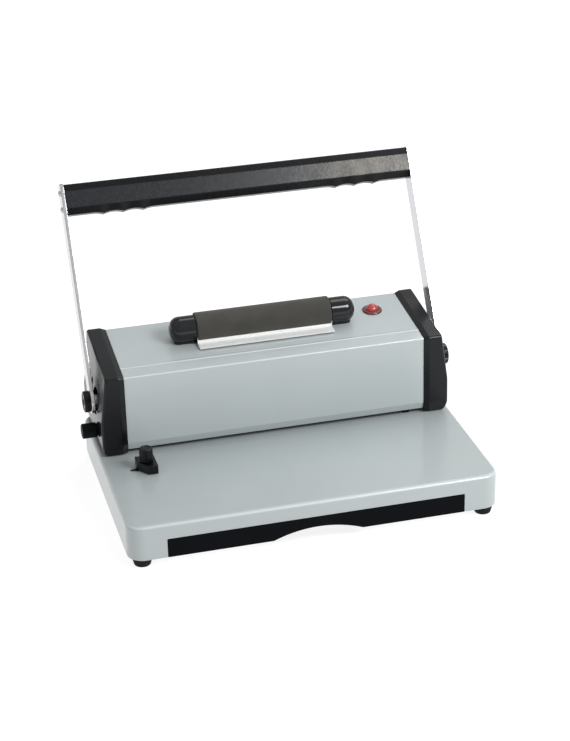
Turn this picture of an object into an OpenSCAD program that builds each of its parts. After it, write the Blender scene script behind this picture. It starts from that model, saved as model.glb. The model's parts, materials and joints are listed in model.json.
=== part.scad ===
// Manual coil punch and electric coil inserter: a punch head on a work table, with a U handle.
// X runs to the right, Y to the back and Z up. The origin is on the floor, under the centre of the table.

/* [Table] */
// Width of the table
base_w = 408; // [400:1:460]
// Depth of the table
base_d = 280; // [276:1:340]
// Height of the table's shell, from its lower rim to its top
base_h = 39.5; // [37:0.5:50]
// Radius of the table's upright corners
base_corner_r = 18; // [14:1:24]
// Radius of the table's top edge
base_edge_r = 4.5; // [3:0.5:7]
// Thickness of the table's shell
base_wall = 2.5; // [2:0.1:3.5]
// Thickness of the steel plate under the table
plate_t = 1.5; // [1:0.1:2]
// Height of a rubber foot
foot_h = 10; // [6:1:20]
// Diameter of a foot at its top
foot_top_d = 22.5; // [19:0.5:25]
// Diameter of a foot on the floor
foot_floor_d = 18; // [15:0.5:19]
// From the table's sides and from its front and back to a foot's centre
foot_inset = [15.5, 13];

/* [Chip drawer] */
// Width of the drawer's front panel
drawer_w = 326; // [320:1:330]
// Height of the drawer's front panel
drawer_h = 21.8; // [21:0.2:24]
// Thickness of the front panel
drawer_front_t = 3; // [2:0.1:4]
// Width of the finger arch at the panel's lower edge
arch_w = 98; // [70:1:110]
// Height of the finger arch
arch_h = 9.5; // [6:0.5:11]
// Width of the chip tray
tray_w = 300; // [290:1:306]
// Length of the chip tray
tray_l = 222; // [200:1:226]
// Wall of the chip tray
tray_wall = 1.5; // [1:0.1:2.5]
// Depth of the finger recess between the panel and the tray
recess_d = 32; // [24:1:36]
// Furthest the drawer is drawn out
drawer_travel = 150; // [100:1:180]

/* [Punch head] */
// From the last hole to the end of the sheet-metal cover
side_room = 26.5; // [26:0.5:30]
// Thickness of the cover's sheet
cover_t = 1.5; // [1:0.1:2]
// Gap between the table and the cover's lower lip, where the paper goes in
mouth_h = 5.5; // [5.5:0.5:8]
// From the table's front edge to the foremost line of the cover
cover_front = 165; // [160:0.5:170]
// Height of the cover's folded lip
lip_h = 8; // [6:0.5:11]
// How far the lip folds back
lip_d = 2.5; // [1.5:0.5:6]
// Height of the front fold above the table
fold_h = 93; // [88:0.5:102]
// How far the front face leans back up to the fold
front_lean = 1; // [0:0.5:4]
// Depth of the narrow strip behind the front fold
strip_d = 20; // [15:0.5:24]
// Rise of that strip
strip_rise = 2.4; // [1.6:0.1:3.4]
// Depth of the top face, from the strip to the back fold
top_d = 91; // [86:0.5:94]
// Rise of the top face
top_rise = 9.4; // [7:0.2:12]
// How far the back face leans out from the back fold to the table
back_lean = 0; // [0:0.5:2]
// Radius of the cover's folds
fold_r = 3; // [2.5:0.5:5]

/* [End caps] */
// How far a cap stands proud of the cover
cap_proud = 2.5; // [2:0.1:3.5]
// Wall of a cap
cap_wall = 2.5; // [2:0.1:2.8]
// Width of a cap at and above the front fold
cap_w = 21.5; // [20:0.5:24]
// How much wider a cap is at its foot than at the fold
cap_flare = 7; // [5:0.5:8]
// Height above the table where the flare ends
flare_h = 40; // [20:1:50]
// Width of the sloping rim beside the cover
rim_w = 6; // [4:0.5:7]
// Gap between a cap and the table
cap_gap = 2; // [1:0.5:3]
// Radius of the round recess about the pivot
hub_recess_r = 15.5; // [13:0.5:17]

/* [Handle] */
// Height of the handle's pivot above the table
pivot_h = 51.5; // [50.5:0.5:56]
// From the table's front edge to the pivot and the punching line
pivot_back = 206; // [204:0.5:208]
// Diameter of the main shaft
shaft_d = 14; // [12:0.5:15]
// Gap between an end cap's foot and an arm
arm_gap = 0.5; // [0.5:0.1:4]
// Thickness of an arm
arm_t = 4; // [3:0.5:5]
// Width of an arm
arm_w = 23; // [20:0.5:25]
// Radius of an arm's eye about the pivot
eye_r = 14; // [12.5:0.5:15]
// From the pivot to the arm's far end
arm_l = 245; // [230:1:260]
// How far the handle leans back from upright at rest, in degrees
rest_lean = 30.8; // [20:0.2:35]
// How far the handle swings forward, in degrees
handle_swing = 105; // [80:1:108]
// Height of the grip bar along the arm
grip_h = 34.6; // [30:0.2:38]
// Thickness of the grip bar
grip_t = 22; // [18:0.5:22.5]
// Depth of the finger ridges under the grip bar
ridge_h = 2; // [1:0.2:3]
// Distance between two finger ridges
ridge_pitch = 23; // [18:0.5:25]
// From an arm to the outermost finger ridge
ridge_inset = 42; // [30:0.5:60]
// Diameter of a pivot bolt's knurled head
bolt_head_d = 24; // [20:0.5:26]
// Length of a pivot bolt's head
bolt_head_l = 7.5; // [6:0.5:9]

/* [Punch] */
// Number of punched holes
hole_count = 59; // [41:2:59]
// Distance between two holes
hole_pitch = 5; // [4.8:0.1:5]
// Diameter of a punch pin
pin_d = 4; // [3:0.1:4]
// How far the ram travels
ram_stroke = 10; // [8:0.5:10.5]
// Height of the throat between the die plates
throat_h = 2.5; // [2.2:0.1:3]
// Thickness of the lower die plate
lower_die_t = 3; // [2:0.5:3.5]
// Thickness of the upper die plate
upper_die_t = 8; // [6:0.5:9]
// Depth of the die plates, front to back
die_d = 36; // [34:1:38]
// Height of the ram bar
ram_h = 15; // [13:0.5:16]
// Depth of the ram bar, front to back
ram_d = 16; // [14:0.5:20]
// Diameter of a guide rod
rod_d = 8; // [6:0.5:9]
// Thickness of a side frame
frame_t = 4; // [3:0.5:5]
// Thickness of a punch cam
cam_t = 12; // [8:0.5:16]
// From the last hole to a punch cam, towards the middle
cam_inset = 35; // [10:1:80]

/* [Coil roller] */
// Diameter of the foam sleeve
sleeve_d = 34; // [31:0.5:36]
// From the last hole to the end of the foam sleeve, towards the middle
sleeve_inset = 67.5; // [65:0.5:85]
// Height of the roller's axis above the cover's top face
roller_rise = 14.6; // [13:0.2:15]
// From the strip to the roller's axis, up the top face
roller_back = 43.2; // [41:0.2:46]
// Radius of the round end housings
housing_r = 14.8; // [14:0.2:16]
// Length of an end housing
housing_l = 28.5; // [26:0.5:32]
// Wall of an end housing
housing_wall = 1.8; // [1.5:0.1:2.2]
// Width of the coil ledge in front of the roller
ledge_d = 14; // [10:0.5:14.5]
// Height of the coil ledge over the cover
ledge_h = 3; // [2.4:0.2:4]

/* [Controls] */
// From the right end of the cover to the start button
button_inset = 37.5; // [28:0.5:44]
// From the strip to the start button, up the top face
button_back = 56; // [50:0.5:62]
// Diameter of the button's dome
button_d = 14; // [10:0.5:15]
// Diameter of the bezel
bezel_d = 23; // [20:0.5:26]
// How far the button is pressed
button_travel = 2.5; // [1.5:0.1:2.8]
// Diameter of the margin knob
margin_knob_d = 17; // [14:0.5:18]
// Length of the margin knob
margin_knob_l = 17; // [14:0.5:20]
// Offset of the eccentric that shifts the depth stop
margin_throw = 1.5; // [1:0.1:1.5]
// Width, depth and height of the sliding edge guide's block
guide_size = [21, 28, 10];
// Diameter of the edge guide's clamping knob
guide_knob_d = 15; // [12:0.5:16]
// Height of the edge guide's clamping knob
guide_knob_h = 16; // [12:0.5:18]
// From the front of the cover forward to the edge guide's knob
guide_gap = 40; // [34:0.5:60]
// Shortest and longest move of the edge guide towards the middle
guide_move = [-2, 8];
// From the last hole to the side edge of the widest sheet
sheet_side = 3.5; // [1:0.5:4]

/* [Drive and inlet] */
// From the right end of the cover to the inlet's centre
inlet_inset = 51.5; // [48:0.5:60]
// Height of the inlet's centre up the back face
inlet_rise = 26; // [22:1:40]
// Width and height of the inlet's housing
inlet_size = [27, 20];
// Length of the motor
motor_l = 60; // [40:1:70]
// Diameter of the motor
motor_d = 36; // [30:1:38]
// From the punching line back to the motor's shaft
motor_back = 44; // [43:0.5:45]
// Height of the motor's shaft above the table
motor_rise = 34; // [30:0.5:36]
// Depth and thickness of the control board
board_size = [34, 1.6];
// From the left end of the cover to the control board
board_inset = 21.5; // [18:0.5:40]
// From the middle of the machine to the control board
board_mid = 55; // [45:1:70]

/* [Hidden] */
$fn = 48;

// General clearances
fit = 0.05;     // radial gap of a shaft or pin that turns or slides in its hole
seat = 0.3;     // gap between pieces that move past each other or are trapped
eps = 0.01;

// Heights and depths that everything stands on
rim_z = foot_h;
table_z = foot_h + base_h;
deck_z = table_z - base_wall;
front_y = -base_d / 2;
back_y = base_d / 2;
floor_z = rim_z + plate_t;

// The pivot and the punching line share one upright plane
axis_y = front_y + pivot_back;
axis_z = table_z + pivot_h;

// The cover's folds, as [y, z]
face_y = front_y + cover_front;
lip_pt = [face_y + lip_d, table_z + mouth_h];
low_pt = [face_y, table_z + mouth_h + lip_h];
fold_pt = [face_y + front_lean, table_z + fold_h];
strip_pt = fold_pt + [strip_d, strip_rise];
back_pt = strip_pt + [top_d, top_rise];
heel_pt = [back_pt[0] + back_lean, table_z];
top_slope = atan2(top_rise, top_d);
back_slope = atan2(back_lean, back_pt[1] - table_z);

// Places across the machine
row_half = (hole_count - 1) * hole_pitch / 2;
cover_x = row_half + side_room;
cap_x = cover_x + cap_w;
foot_x = cap_x + cap_flare;
frame_x = cover_x + 2.5;
frame_out = frame_x + frame_t;
arm_x = foot_x + arm_gap;
bolt_x = arm_x + arm_t;
cam_x = row_half - cam_inset;
button_x = cover_x - button_inset;
inlet_x = cover_x - inlet_inset;
sleeve_l = 2 * (row_half - sleeve_inset);
sheet_half = row_half + sheet_side;

// Vector helpers
function unit(v) = v / norm(v);
function turn(a) = a > 180 ? a - 360 : a <= -180 ? a + 360 : a;
function flip(list) = [for (i = [len(list) - 1:-1:0]) list[i]];

// The arc of radius r that rounds the corner b between a and c
function arc(a, b, c, r, n = 6) =
    let (u = unit(a - b), v = unit(c - b), half = acos(u * v) / 2,
        mid = b + unit(u + v) * r / sin(half),
        s = b + u * r / tan(half) - mid, e = b + v * r / tan(half) - mid,
        from = atan2(s[1], s[0]), sweep = turn(atan2(e[1], e[0]) - from))
    [for (i = [0:n]) mid + r * [cos(from + sweep * i / n), sin(from + sweep * i / n)]];

// A closed outline with every corner rounded
function rounded(p, r, n = 6) =
    [for (i = [0:len(p) - 1]) each arc(p[(i + len(p) - 1) % len(p)], p[i], p[(i + 1) % len(p)], r, n)];

// An open path with its inner corners rounded
function rounded_path(p, r, n = 6) =
    [p[0], for (i = [1:len(p) - 2]) each arc(p[i - 1], p[i], p[i + 1], r, n), p[len(p) - 1]];

// The path shifted by t to its right-hand side
function side(a, b) = unit([(b - a)[1], -(b - a)[0]]);
function shifted(p, t) = [for (i = [0:len(p) - 1])
    let (n1 = i == 0 ? side(p[0], p[1]) : side(p[i - 1], p[i]),
        n2 = i == len(p) - 1 ? n1 : side(p[i], p[i + 1]))
    p[i] + t * (n1 + n2) / (1 + n1 * n2)];

// Shape helpers
module x_prism(x0, x1) translate([x0, 0, 0]) rotate([90, 0, 90]) linear_extrude(x1 - x0) children();
module y_prism(y0, y1) translate([0, y1, 0]) rotate([90, 0, 0]) linear_extrude(y1 - y0) children();
module x_rod(x0, x1, r) translate([x0, 0, 0]) rotate([0, 90, 0]) cylinder(h = x1 - x0, r = r);
module block(low, high) translate(low) cube(high - low);
module both() { children(); mirror([1, 0, 0]) children(); }
module at_axis() translate([0, axis_y, axis_z]) children();
module on_top() translate([0, strip_pt[0], strip_pt[1]]) rotate([top_slope, 0, 0]) children();
module on_back() translate([0, heel_pt[0], heel_pt[1]]) rotate([back_slope, 0, 0]) children();
module in_arm() at_axis() rotate([-rest_lean, 0, 0]) children();
module at_feet() for (x = [-1, 1], y = [-1, 1])
    translate([x * (base_w / 2 - foot_inset[0]), y * (base_d / 2 - foot_inset[1]), 0]) children();
module round_rect(w, d, r) {
    square([w - 2 * r, d], center = true);
    square([w, d - 2 * r], center = true);
    for (x = [-1, 1], y = [-1, 1]) translate([x * (w / 2 - r), y * (d / 2 - r)]) circle(r);
}
module screw(head_r, head_h, shank_r, shank_l, socket_r) difference() {
    union() {
        translate([0, 0, -shank_l]) cylinder(h = shank_l + eps, r = shank_r);
        cylinder(h = head_h, r = head_r);
    }
    translate([0, 0, head_h / 2]) cylinder(h = head_h, r = socket_r, $fn = 6);
}
// A knurled grip about Z: a plain core with ribs cut round its edge
module knurled(r, h, count) difference() {
    cylinder(h = h, r = r);
    for (i = [0:count - 1]) rotate([0, 0, i * 360 / count])
        translate([r, 0, -1]) rotate([0, 0, 45]) cube([0.8, 0.8, 2 * h + 4], center = true);
}

// ---- Table ----
boss_r = 6;
pilot_r = 1.7;
foot_screw_r = 2;
chip_slot_d = 12;
chip_slot_half = row_half + 6;
frame_screw_y = [axis_y - 10, axis_y + 26, axis_y + 52];
frame_screw_x = frame_out + 6;
frame_screw_r = 2;
die_screw_y = [axis_y - die_d / 2 + 5, axis_y + die_d / 2 - 5];
die_x = row_half + 17;
die_screw_x = die_x - 5;
die_screw_r = 2;
guide_y = face_y - guide_gap;
guide_x = -sheet_half - guide_size[0] / 2;
stud_r = 2;
motor_r = motor_d / 2;
motor_y = axis_y + motor_back;
motor_z = table_z + motor_rise;
bracket_t = 3;
ear_gap = 4;
ear_x = sleeve_l / 2 + ear_gap;
bracket_x = ear_x;
motor_x = bracket_x - motor_l;
bracket_foot = 24;
bracket_front = motor_y - 15;
bracket_back = motor_y + 17;
bracket_screw_x = bracket_x + bracket_foot - 6;
bracket_screw_y = [motor_y - 8, motor_y + 10];
panel_gap = 0.3;

// The upper edge of a slab of half width half, rounded by e, up to height top
module edge_profile(half, e, top) {
    translate([-half, top - e - 1]) square([2 * half, 1]);
    translate([-half + e, top - e - 1]) square([2 * (half - e), e + 1]);
    for (x = [-1, 1]) translate([x * (half - e), top - e]) circle(e);
}

module table_shell(inset, top) {
    w = base_w - 2 * inset;
    d = base_d - 2 * inset;
    r = base_corner_r - inset;
    e = base_edge_r > inset + 1 ? base_edge_r - inset : 1;
    translate([0, 0, rim_z]) linear_extrude(top - e - rim_z) round_rect(w, d, r);
    y_prism(-d / 2 + r, d / 2 - r) edge_profile(w / 2, e, top);
    x_prism(-w / 2 + r, w / 2 - r) edge_profile(d / 2, e, top);
    for (x = [-1, 1], y = [-1, 1]) translate([x * (w / 2 - r), y * (d / 2 - r), 0]) rotate_extrude()
        intersection() {
            edge_profile(r, e, top);
            square([r, top]);
        }
}

module base_cover() color([0.72, 0.75, 0.75]) difference() {
    table_shell(0, table_z);
    difference() {
        translate([0, 0, -1]) table_shell(base_wall, deck_z + 1);
        at_feet() translate([0, 0, floor_z]) cylinder(h = base_h, r = boss_r);
    }
    // opening for the drawer
    block([-drawer_w / 2 - panel_gap, front_y - 1, 0],
        [drawer_w / 2 + panel_gap, front_y + drawer_front_t + 1, rim_z + drawer_h + panel_gap]);
    // slot that the chips fall through
    block([-chip_slot_half, axis_y - chip_slot_d / 2, deck_z - 1],
        [chip_slot_half, axis_y + chip_slot_d / 2, table_z + 1]);
    // slot of the edge guide's stud
    translate([guide_x, guide_y, deck_z - 1]) {
        for (x = guide_move) translate([x, 0, 0]) cylinder(h = base_wall + 2, r = stud_r + seat);
        translate([guide_move[0], -stud_r - seat, 0])
            cube([guide_move[1] - guide_move[0], 2 * (stud_r + seat), base_wall + 2]);
    }
    // pilot holes
    at_feet() cylinder(h = deck_z - 2, r = foot_screw_r + fit);
    both() {
        for (y = frame_screw_y) translate([frame_screw_x, y, deck_z - 1])
            cylinder(h = base_wall + 2, r = frame_screw_r + fit);
        for (y = die_screw_y) translate([die_screw_x, y, deck_z - 1])
            cylinder(h = base_wall + 2, r = die_screw_r + fit);
    }
    for (y = bracket_screw_y) translate([bracket_screw_x, y, deck_z - 1])
        cylinder(h = base_wall + 2, r = frame_screw_r + fit);
}

plate_w = base_w - 2 * base_wall - 2 * seat;
plate_d = base_d - 2 * base_wall - 2 * seat;

module base_plate() color([0.55, 0.57, 0.58]) difference() {
    translate([0, 0, rim_z]) linear_extrude(plate_t) difference() {
        round_rect(plate_w, plate_d, base_corner_r - base_wall - seat);
        // room for the fingers under the drawer's front panel
        translate([-arch_w / 2, front_y - 1]) square([arch_w, recess_d + 1]);
        // room for the drawer's front panel
        translate([-drawer_w / 2 - panel_gap, front_y - 1])
            square([drawer_w + 2 * panel_gap, drawer_front_t + 1 + panel_gap]);
    }
    at_feet() cylinder(h = 2 * rim_z, r = foot_screw_r + fit);
}

screw_recess_h = 4;
screw_recess_r = 4.4;

module rubber_feet() color([0.09, 0.09, 0.1]) at_feet() difference() {
    rotate_extrude() polygon([[0, 0], [foot_floor_d / 2 - 1, 0], [foot_floor_d / 2, 1],
        [foot_top_d / 2, foot_h - 2], [foot_top_d / 2, foot_h], [0, foot_h]]);
    translate([0, 0, -1]) cylinder(h = foot_h + 2, r = foot_screw_r + fit);
    translate([0, 0, -1]) cylinder(h = screw_recess_h + 1, r = screw_recess_r);
}

module foot_screws() color([0.75, 0.75, 0.77]) at_feet() translate([0, 0, screw_recess_h])
    rotate([180, 0, 0]) screw(screw_recess_r - 0.6, 2.4, foot_screw_r, floor_z + 12 - screw_recess_h, 1.5);

// ---- Chip drawer ----
tray_back = front_y + drawer_front_t + recess_d + tray_l;
tray_front = tray_back - tray_l;
cheek_t = 3;
runner_lip_w = 12;
runner_t = 2;
tray_z = floor_z + 2.2 + seat;
tray_top = rim_z + drawer_h - 1.5;
runner_x = tray_w / 2 + seat;

module drawer_runners() color([0.6, 0.62, 0.63]) both() {
    block([runner_x, tray_front - recess_d + 6, floor_z], [runner_x + runner_t, tray_back + 6, tray_top]);
    block([runner_x - runner_lip_w, tray_front - recess_d + 6, floor_z], [runner_x + eps, tray_back + 6, tray_z - seat]);
}

arch_r = (arch_w * arch_w / 4 + arch_h * arch_h) / (2 * arch_h);

module drawer_front() color([0.08, 0.08, 0.09]) difference() {
    block([-drawer_w / 2, front_y, rim_z], [drawer_w / 2, front_y + drawer_front_t, rim_z + drawer_h]);
    translate([0, front_y - 1, rim_z + arch_h - arch_r]) rotate([-90, 0, 0])
        cylinder(h = drawer_front_t + 2, r = arch_r, $fn = 120);
}

module drawer_tray() color([0.1, 0.1, 0.11]) {
    difference() {
        block([-tray_w / 2, tray_front, tray_z], [tray_w / 2, tray_back, tray_top]);
        block([-tray_w / 2 + tray_wall, tray_front + tray_wall, tray_z + tray_wall],
            [tray_w / 2 - tray_wall, tray_back - tray_wall, tray_top + 1]);
    }
    both() block([tray_w / 2 - cheek_t, front_y + drawer_front_t, tray_z], [tray_w / 2, tray_front + eps, tray_top]);
}

// ---- Punch head: frames, cover and caps ----
cap_low = table_z + cap_gap;

// The head's outline grown by g, from the front foot round to the back foot, down to height z
function head_outline(g, z) = [
    [lip_pt[0] - g, z], [low_pt[0] - g, max(low_pt[1] - 2, z + 1)], fold_pt + [-g, 0.8 * g],
    back_pt + [g, 1.2 * g], [heel_pt[0] + g, z]];

cover_path = rounded_path([lip_pt, low_pt, fold_pt, strip_pt, back_pt, heel_pt], fold_r);
roller_gap = 1;
// the foot of an end housing, a little behind the roller so that the belt passes through it
foot_half = 11.7;
foot_end = 4;
foot_round = 6;
foot_s = roller_back + 2.6;
opening_s = sqrt(pow(sleeve_d / 2, 2) - pow(roller_rise, 2)) + roller_gap;
drive_opening_s = foot_half - housing_wall - 0.2;
bezel_neck_r = button_d / 2 + 1.6;
inlet_w = inlet_size[0];
inlet_h = inlet_size[1];
inlet_z = inlet_rise;

module body_cover() color([0.72, 0.75, 0.75]) difference() {
    x_prism(-cover_x, cover_x) polygon(concat(cover_path, flip(shifted(cover_path, cover_t))));
    on_top() {
        block([-sleeve_l / 2 - roller_gap, roller_back - opening_s, -10],
            [sleeve_l / 2 + roller_gap, roller_back + opening_s, 10]);
        block([opening_x[0], foot_s - drive_opening_s, -10], [opening_x[1], foot_s + drive_opening_s, 10]);
        translate([button_x, button_back, -10]) cylinder(h = 20, r = bezel_neck_r + fit);
    }
    on_back() translate([inlet_x, 0, inlet_z])
        cube([inlet_w + 2 * seat, 20, inlet_h + 2 * seat], center = true);
}

module frame_plate() difference() {
    x_prism(frame_x, frame_out) polygon(rounded(head_outline(-frame_gap, table_z), fold_r, 3));
    at_axis() x_rod(frame_x - 1, frame_out + 1, bush_r + fit);
    translate([0, margin_y, margin_z]) x_rod(frame_x - 1, frame_out + 1, margin_shaft_r + fit);
    for (p = tie_spots) translate([0, p[0], p[1]]) x_rod(frame_x - 1, frame_out + 1, tie_pin_r + fit);
    for (p = cap_screw_spots) translate([0, p[0], p[1]]) x_rod(frame_x - 1, frame_out + 1, cap_screw_r + fit);
}

flange_t = 3;
frame_gap = 1.2;
flange_w = 13;

module side_frame() {
    frame_plate();
    difference() {
        block([frame_out - eps, axis_y - 18, table_z], [frame_out + flange_w, axis_y + 60, table_z + flange_t]);
        for (y = frame_screw_y) translate([frame_screw_x, y, table_z - 1])
            cylinder(h = flange_t + 2, r = frame_screw_r + fit);
    }
}

module right_side_frame() color([0.62, 0.64, 0.66]) side_frame();
module left_side_frame() color([0.62, 0.64, 0.66]) mirror([1, 0, 0]) side_frame();

module frame_screws() color([0.75, 0.75, 0.77]) both() for (y = frame_screw_y)
    translate([frame_screw_x, y, table_z + flange_t]) screw(3.6, 2.4, frame_screw_r, flange_t + base_wall, 1.5);

tie_r = 5;
tie_pin_r = 3;
tie_spots = [[fold_pt[0] + 14, fold_pt[1] - 12], [back_pt[0] - 9, back_pt[1] - 22]];

module tie_rods() color([0.66, 0.67, 0.69]) for (p = tie_spots) translate([0, p[0], p[1]]) {
    x_rod(-frame_x, frame_x, tie_r);
    x_rod(-frame_out - 1, frame_out + 1, tie_pin_r);
}

bush_r = 9;
bush_flange_r = 12;

module shaft_bushes() color([0.72, 0.58, 0.3]) both() at_axis() difference() {
    union() {
        x_rod(frame_x - 6, frame_out, bush_r);
        x_rod(frame_out, frame_out + 2, bush_flange_r);
    }
    x_rod(frame_x - 7, frame_out + 3, shaft_d / 2 + fit);
}

cap_screw_r = 1.8;
cap_screw_spots = [[axis_y + 24, axis_z + 14], [axis_y + 50, table_z + 20]];
cap_boss_r = 5.5;
cap_hole_r = 4;
flare_z = table_z + flare_h;

// The cap seen from the front, inset by g: upright above the fold, flared below it and tucked in at its foot
function cap_front_view(g) = [
    [cover_x - 2, table_z - 5], [cover_x - 2, back_pt[1] + 20], [cap_x - g, back_pt[1] + 20],
    [cap_x - g, fold_pt[1]], [foot_x - g, flare_z], [foot_x - g, cap_low + 9],
    [foot_x - g - 1, cap_low + 4], [foot_x - g - 3.5, cap_low], [foot_x - g - 3.5, table_z - 5]];

module end_cap(knob_hole) difference() {
    union() {
        hull() {
            x_prism(cover_x, cover_x + eps) polygon(rounded(head_outline(0.8, cap_low), 2, 3));
            x_prism(cover_x + rim_w, cover_x + rim_w + eps) polygon(rounded(head_outline(cap_proud, cap_low), 4, 4));
        }
        intersection() {
            x_prism(cover_x + rim_w, foot_x + 5) polygon(rounded(head_outline(cap_proud, cap_low), 4, 4));
            y_prism(front_y, back_y + 20) polygon(cap_front_view(0));
        }
    }
    // a lip at the inner edge closes on the end of the cover's sheet
    x_prism(cover_x - 1, cover_x + 1 + eps) polygon(rounded(head_outline(-cover_t, table_z - 5), 3, 4));
    difference() {
        intersection() {
            x_prism(cover_x + 1, foot_x) polygon(rounded(head_outline(cap_proud - cap_wall, table_z - 5), 3, 4));
            y_prism(front_y, back_y + 20) polygon(cap_front_view(cap_wall));
        }
        for (p = cap_screw_spots) translate([0, p[0], p[1]]) x_rod(frame_out, foot_x + 5, cap_boss_r);
        at_axis() x_rod(recess_x - cap_wall, foot_x, hub_recess_r + cap_wall);
    }
    at_axis() {
        x_rod(recess_x, foot_x + 5, hub_recess_r);
        x_rod(cover_x, foot_x + 5, shaft_d / 2 + 1);
    }
    for (p = cap_screw_spots) translate([0, p[0], p[1]]) {
        x_rod(frame_out - 1, foot_x + 5, cap_screw_r + fit);
        x_rod(cap_seat_x, foot_x + 5, cap_hole_r);
    }
    if (knob_hole) translate([0, margin_y, margin_z]) x_rod(cover_x, foot_x + 5, margin_shaft_r + seat);
}

recess_x = cap_x - 1.5;
cap_seat_x = cap_x - 5;

module right_end_cap() color([0.12, 0.12, 0.13]) end_cap(false);
module left_end_cap() color([0.12, 0.12, 0.13]) mirror([1, 0, 0]) end_cap(true);

module end_cap_screws() color([0.3, 0.3, 0.31]) both() for (p = cap_screw_spots)
    translate([cap_seat_x, p[0], p[1]]) rotate([0, 90, 0])
        screw(cap_hole_r - 0.4, 2.2, cap_screw_r, cap_seat_x - frame_x, 1.3);

// ---- Die set, ram and springs ----
throat_z = table_z + lower_die_t;
upper_z = throat_z + throat_h;
die_top = upper_z + upper_die_t;
spacer_w = 11;
cam_gap = 0.3;
cam_base = shaft_d / 2 + 1.7;
ram_top = axis_z - cam_base - cam_gap;
ram_z = ram_top - ram_h;
ram_half = die_x + 2;
rod_x = die_x - 5;
rod_top = axis_z - shaft_d / 2 - 0.5;
pin_low = upper_z + 1;
pin_seat = 6;
ramp_d = 4;

module pin_row(z, h, r) for (i = [0:hole_count - 1])
    translate([i * hole_pitch - row_half, axis_y, z]) cylinder(h = h, r = r, $fn = 24);

module die_holes(z, h) {
    pin_row(z, h, pin_d / 2 + fit);
    both() for (y = die_screw_y) translate([die_screw_x, y, z]) cylinder(h = h, r = die_screw_r + fit);
}

module lower_die() color([0.5, 0.51, 0.53]) difference() {
    x_prism(-die_x, die_x) polygon([[axis_y - die_d / 2, table_z], [axis_y + die_d / 2, table_z],
        [axis_y + die_d / 2, throat_z], [axis_y - die_d / 2 + ramp_d, throat_z],
        [axis_y - die_d / 2, table_z + 0.6]]);
    die_holes(table_z - 1, lower_die_t + 2);
}

module throat_spacers() color([0.55, 0.56, 0.58]) both() difference() {
    block([die_x - spacer_w, axis_y - die_d / 2 + ramp_d, throat_z], [die_x, axis_y + die_d / 2, upper_z]);
    for (y = die_screw_y) translate([die_screw_x, y, throat_z - 1])
        cylinder(h = throat_h + 2, r = die_screw_r + fit);
}

module upper_die() color([0.5, 0.51, 0.53]) difference() {
    x_prism(-die_x, die_x) polygon([[axis_y - die_d / 2 + ramp_d, upper_z], [axis_y + die_d / 2, upper_z],
        [axis_y + die_d / 2, die_top], [axis_y - die_d / 2, die_top], [axis_y - die_d / 2, upper_z + 3]]);
    die_holes(upper_z - 1, upper_die_t + 2);
    both() translate([rod_x, axis_y, upper_z + 1]) cylinder(h = upper_die_t, r = rod_d / 2 + fit);
}

module die_screws() color([0.75, 0.75, 0.77]) both() for (y = die_screw_y)
    translate([die_screw_x, y, die_top]) screw(3.6, 2.4, die_screw_r, die_top - deck_z, 1.5);

module guide_rods() color([0.8, 0.81, 0.83]) both() translate([rod_x, axis_y, upper_z + 1])
    cylinder(h = rod_top - upper_z - 1, r = rod_d / 2);

spring_wire = 0.8;
spring_turns = 3;
spring_low = die_top + spring_wire / 2;
spring_pitch = (ram_z - seat - die_top - spring_wire) / spring_turns;

// Each coil is a stack of rings with short risers, so that it stays a round wire form
module return_springs() color([0.7, 0.71, 0.73]) both() translate([rod_x, axis_y, 0]) {
    for (i = [0:spring_turns]) translate([0, 0, spring_low + i * spring_pitch])
        rotate_extrude($fn = 32) translate([rod_d / 2 + 1.2, 0]) circle(spring_wire / 2, $fn = 16);
    for (i = [0:spring_turns - 1]) rotate([0, 0, i * 180])
        translate([rod_d / 2 + 1.2, 0, spring_low + i * spring_pitch])
            cylinder(h = spring_pitch, r = spring_wire / 2 - 0.1, $fn = 16);
}

module ram_bar() color([0.58, 0.59, 0.61]) difference() {
    block([-ram_half, axis_y - ram_d / 2, ram_z], [ram_half, axis_y + ram_d / 2, ram_top]);
    pin_row(ram_z - 1, pin_seat + 1, pin_d / 2 + fit);
    both() translate([rod_x, axis_y, ram_z - 1]) cylinder(h = ram_h + 2, r = rod_d / 2 + fit);
}

module punch_pins() color([0.82, 0.83, 0.85]) pin_row(pin_low, ram_z + pin_seat - pin_low, pin_d / 2);

// ---- Handle ----
spigot_r = 5;
pivot_thread_r = 3;
// The cam's flat-follower profile: its reach grows evenly with the handle's swing
cam_rate = ram_stroke / (handle_swing * PI / 180);
function cam_point(a) = let (q = -90 - a, p = cam_base + cam_rate * a * PI / 180)
    p * [cos(q), sin(q)] - cam_rate * [-sin(q), cos(q)];
cam_steps = 24;
cam_outline = concat([for (i = [0:cam_steps]) cam_point(handle_swing * i / cam_steps)],
    [for (i = [0:18]) let (q = -150 - handle_swing - (300 - handle_swing) * i / 18)
        cam_base * [cos(q), sin(q)]]);

module main_shaft() color([0.7, 0.71, 0.73]) at_axis() difference() {
    union() {
        x_rod(-arm_x, arm_x, shaft_d / 2);
        x_rod(-bolt_x, bolt_x, spigot_r);
    }
    both() x_rod(bolt_x - 20, bolt_x + 1, pivot_thread_r + fit);
}

module punch_cams() color([0.55, 0.56, 0.58]) both() at_axis() difference() {
    x_prism(cam_x - cam_t / 2, cam_x + cam_t / 2) polygon(cam_outline);
    x_rod(cam_x - cam_t, cam_x + cam_t, shaft_d / 2 + fit);
}

grip_top = arm_l - 1.2;
grip_low = grip_top - grip_h;
grip_screw_u = [grip_low + 7, grip_top - 9];
grip_screw_w = -2;
grip_screw_r = 2;
corner_cut = 4;

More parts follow.
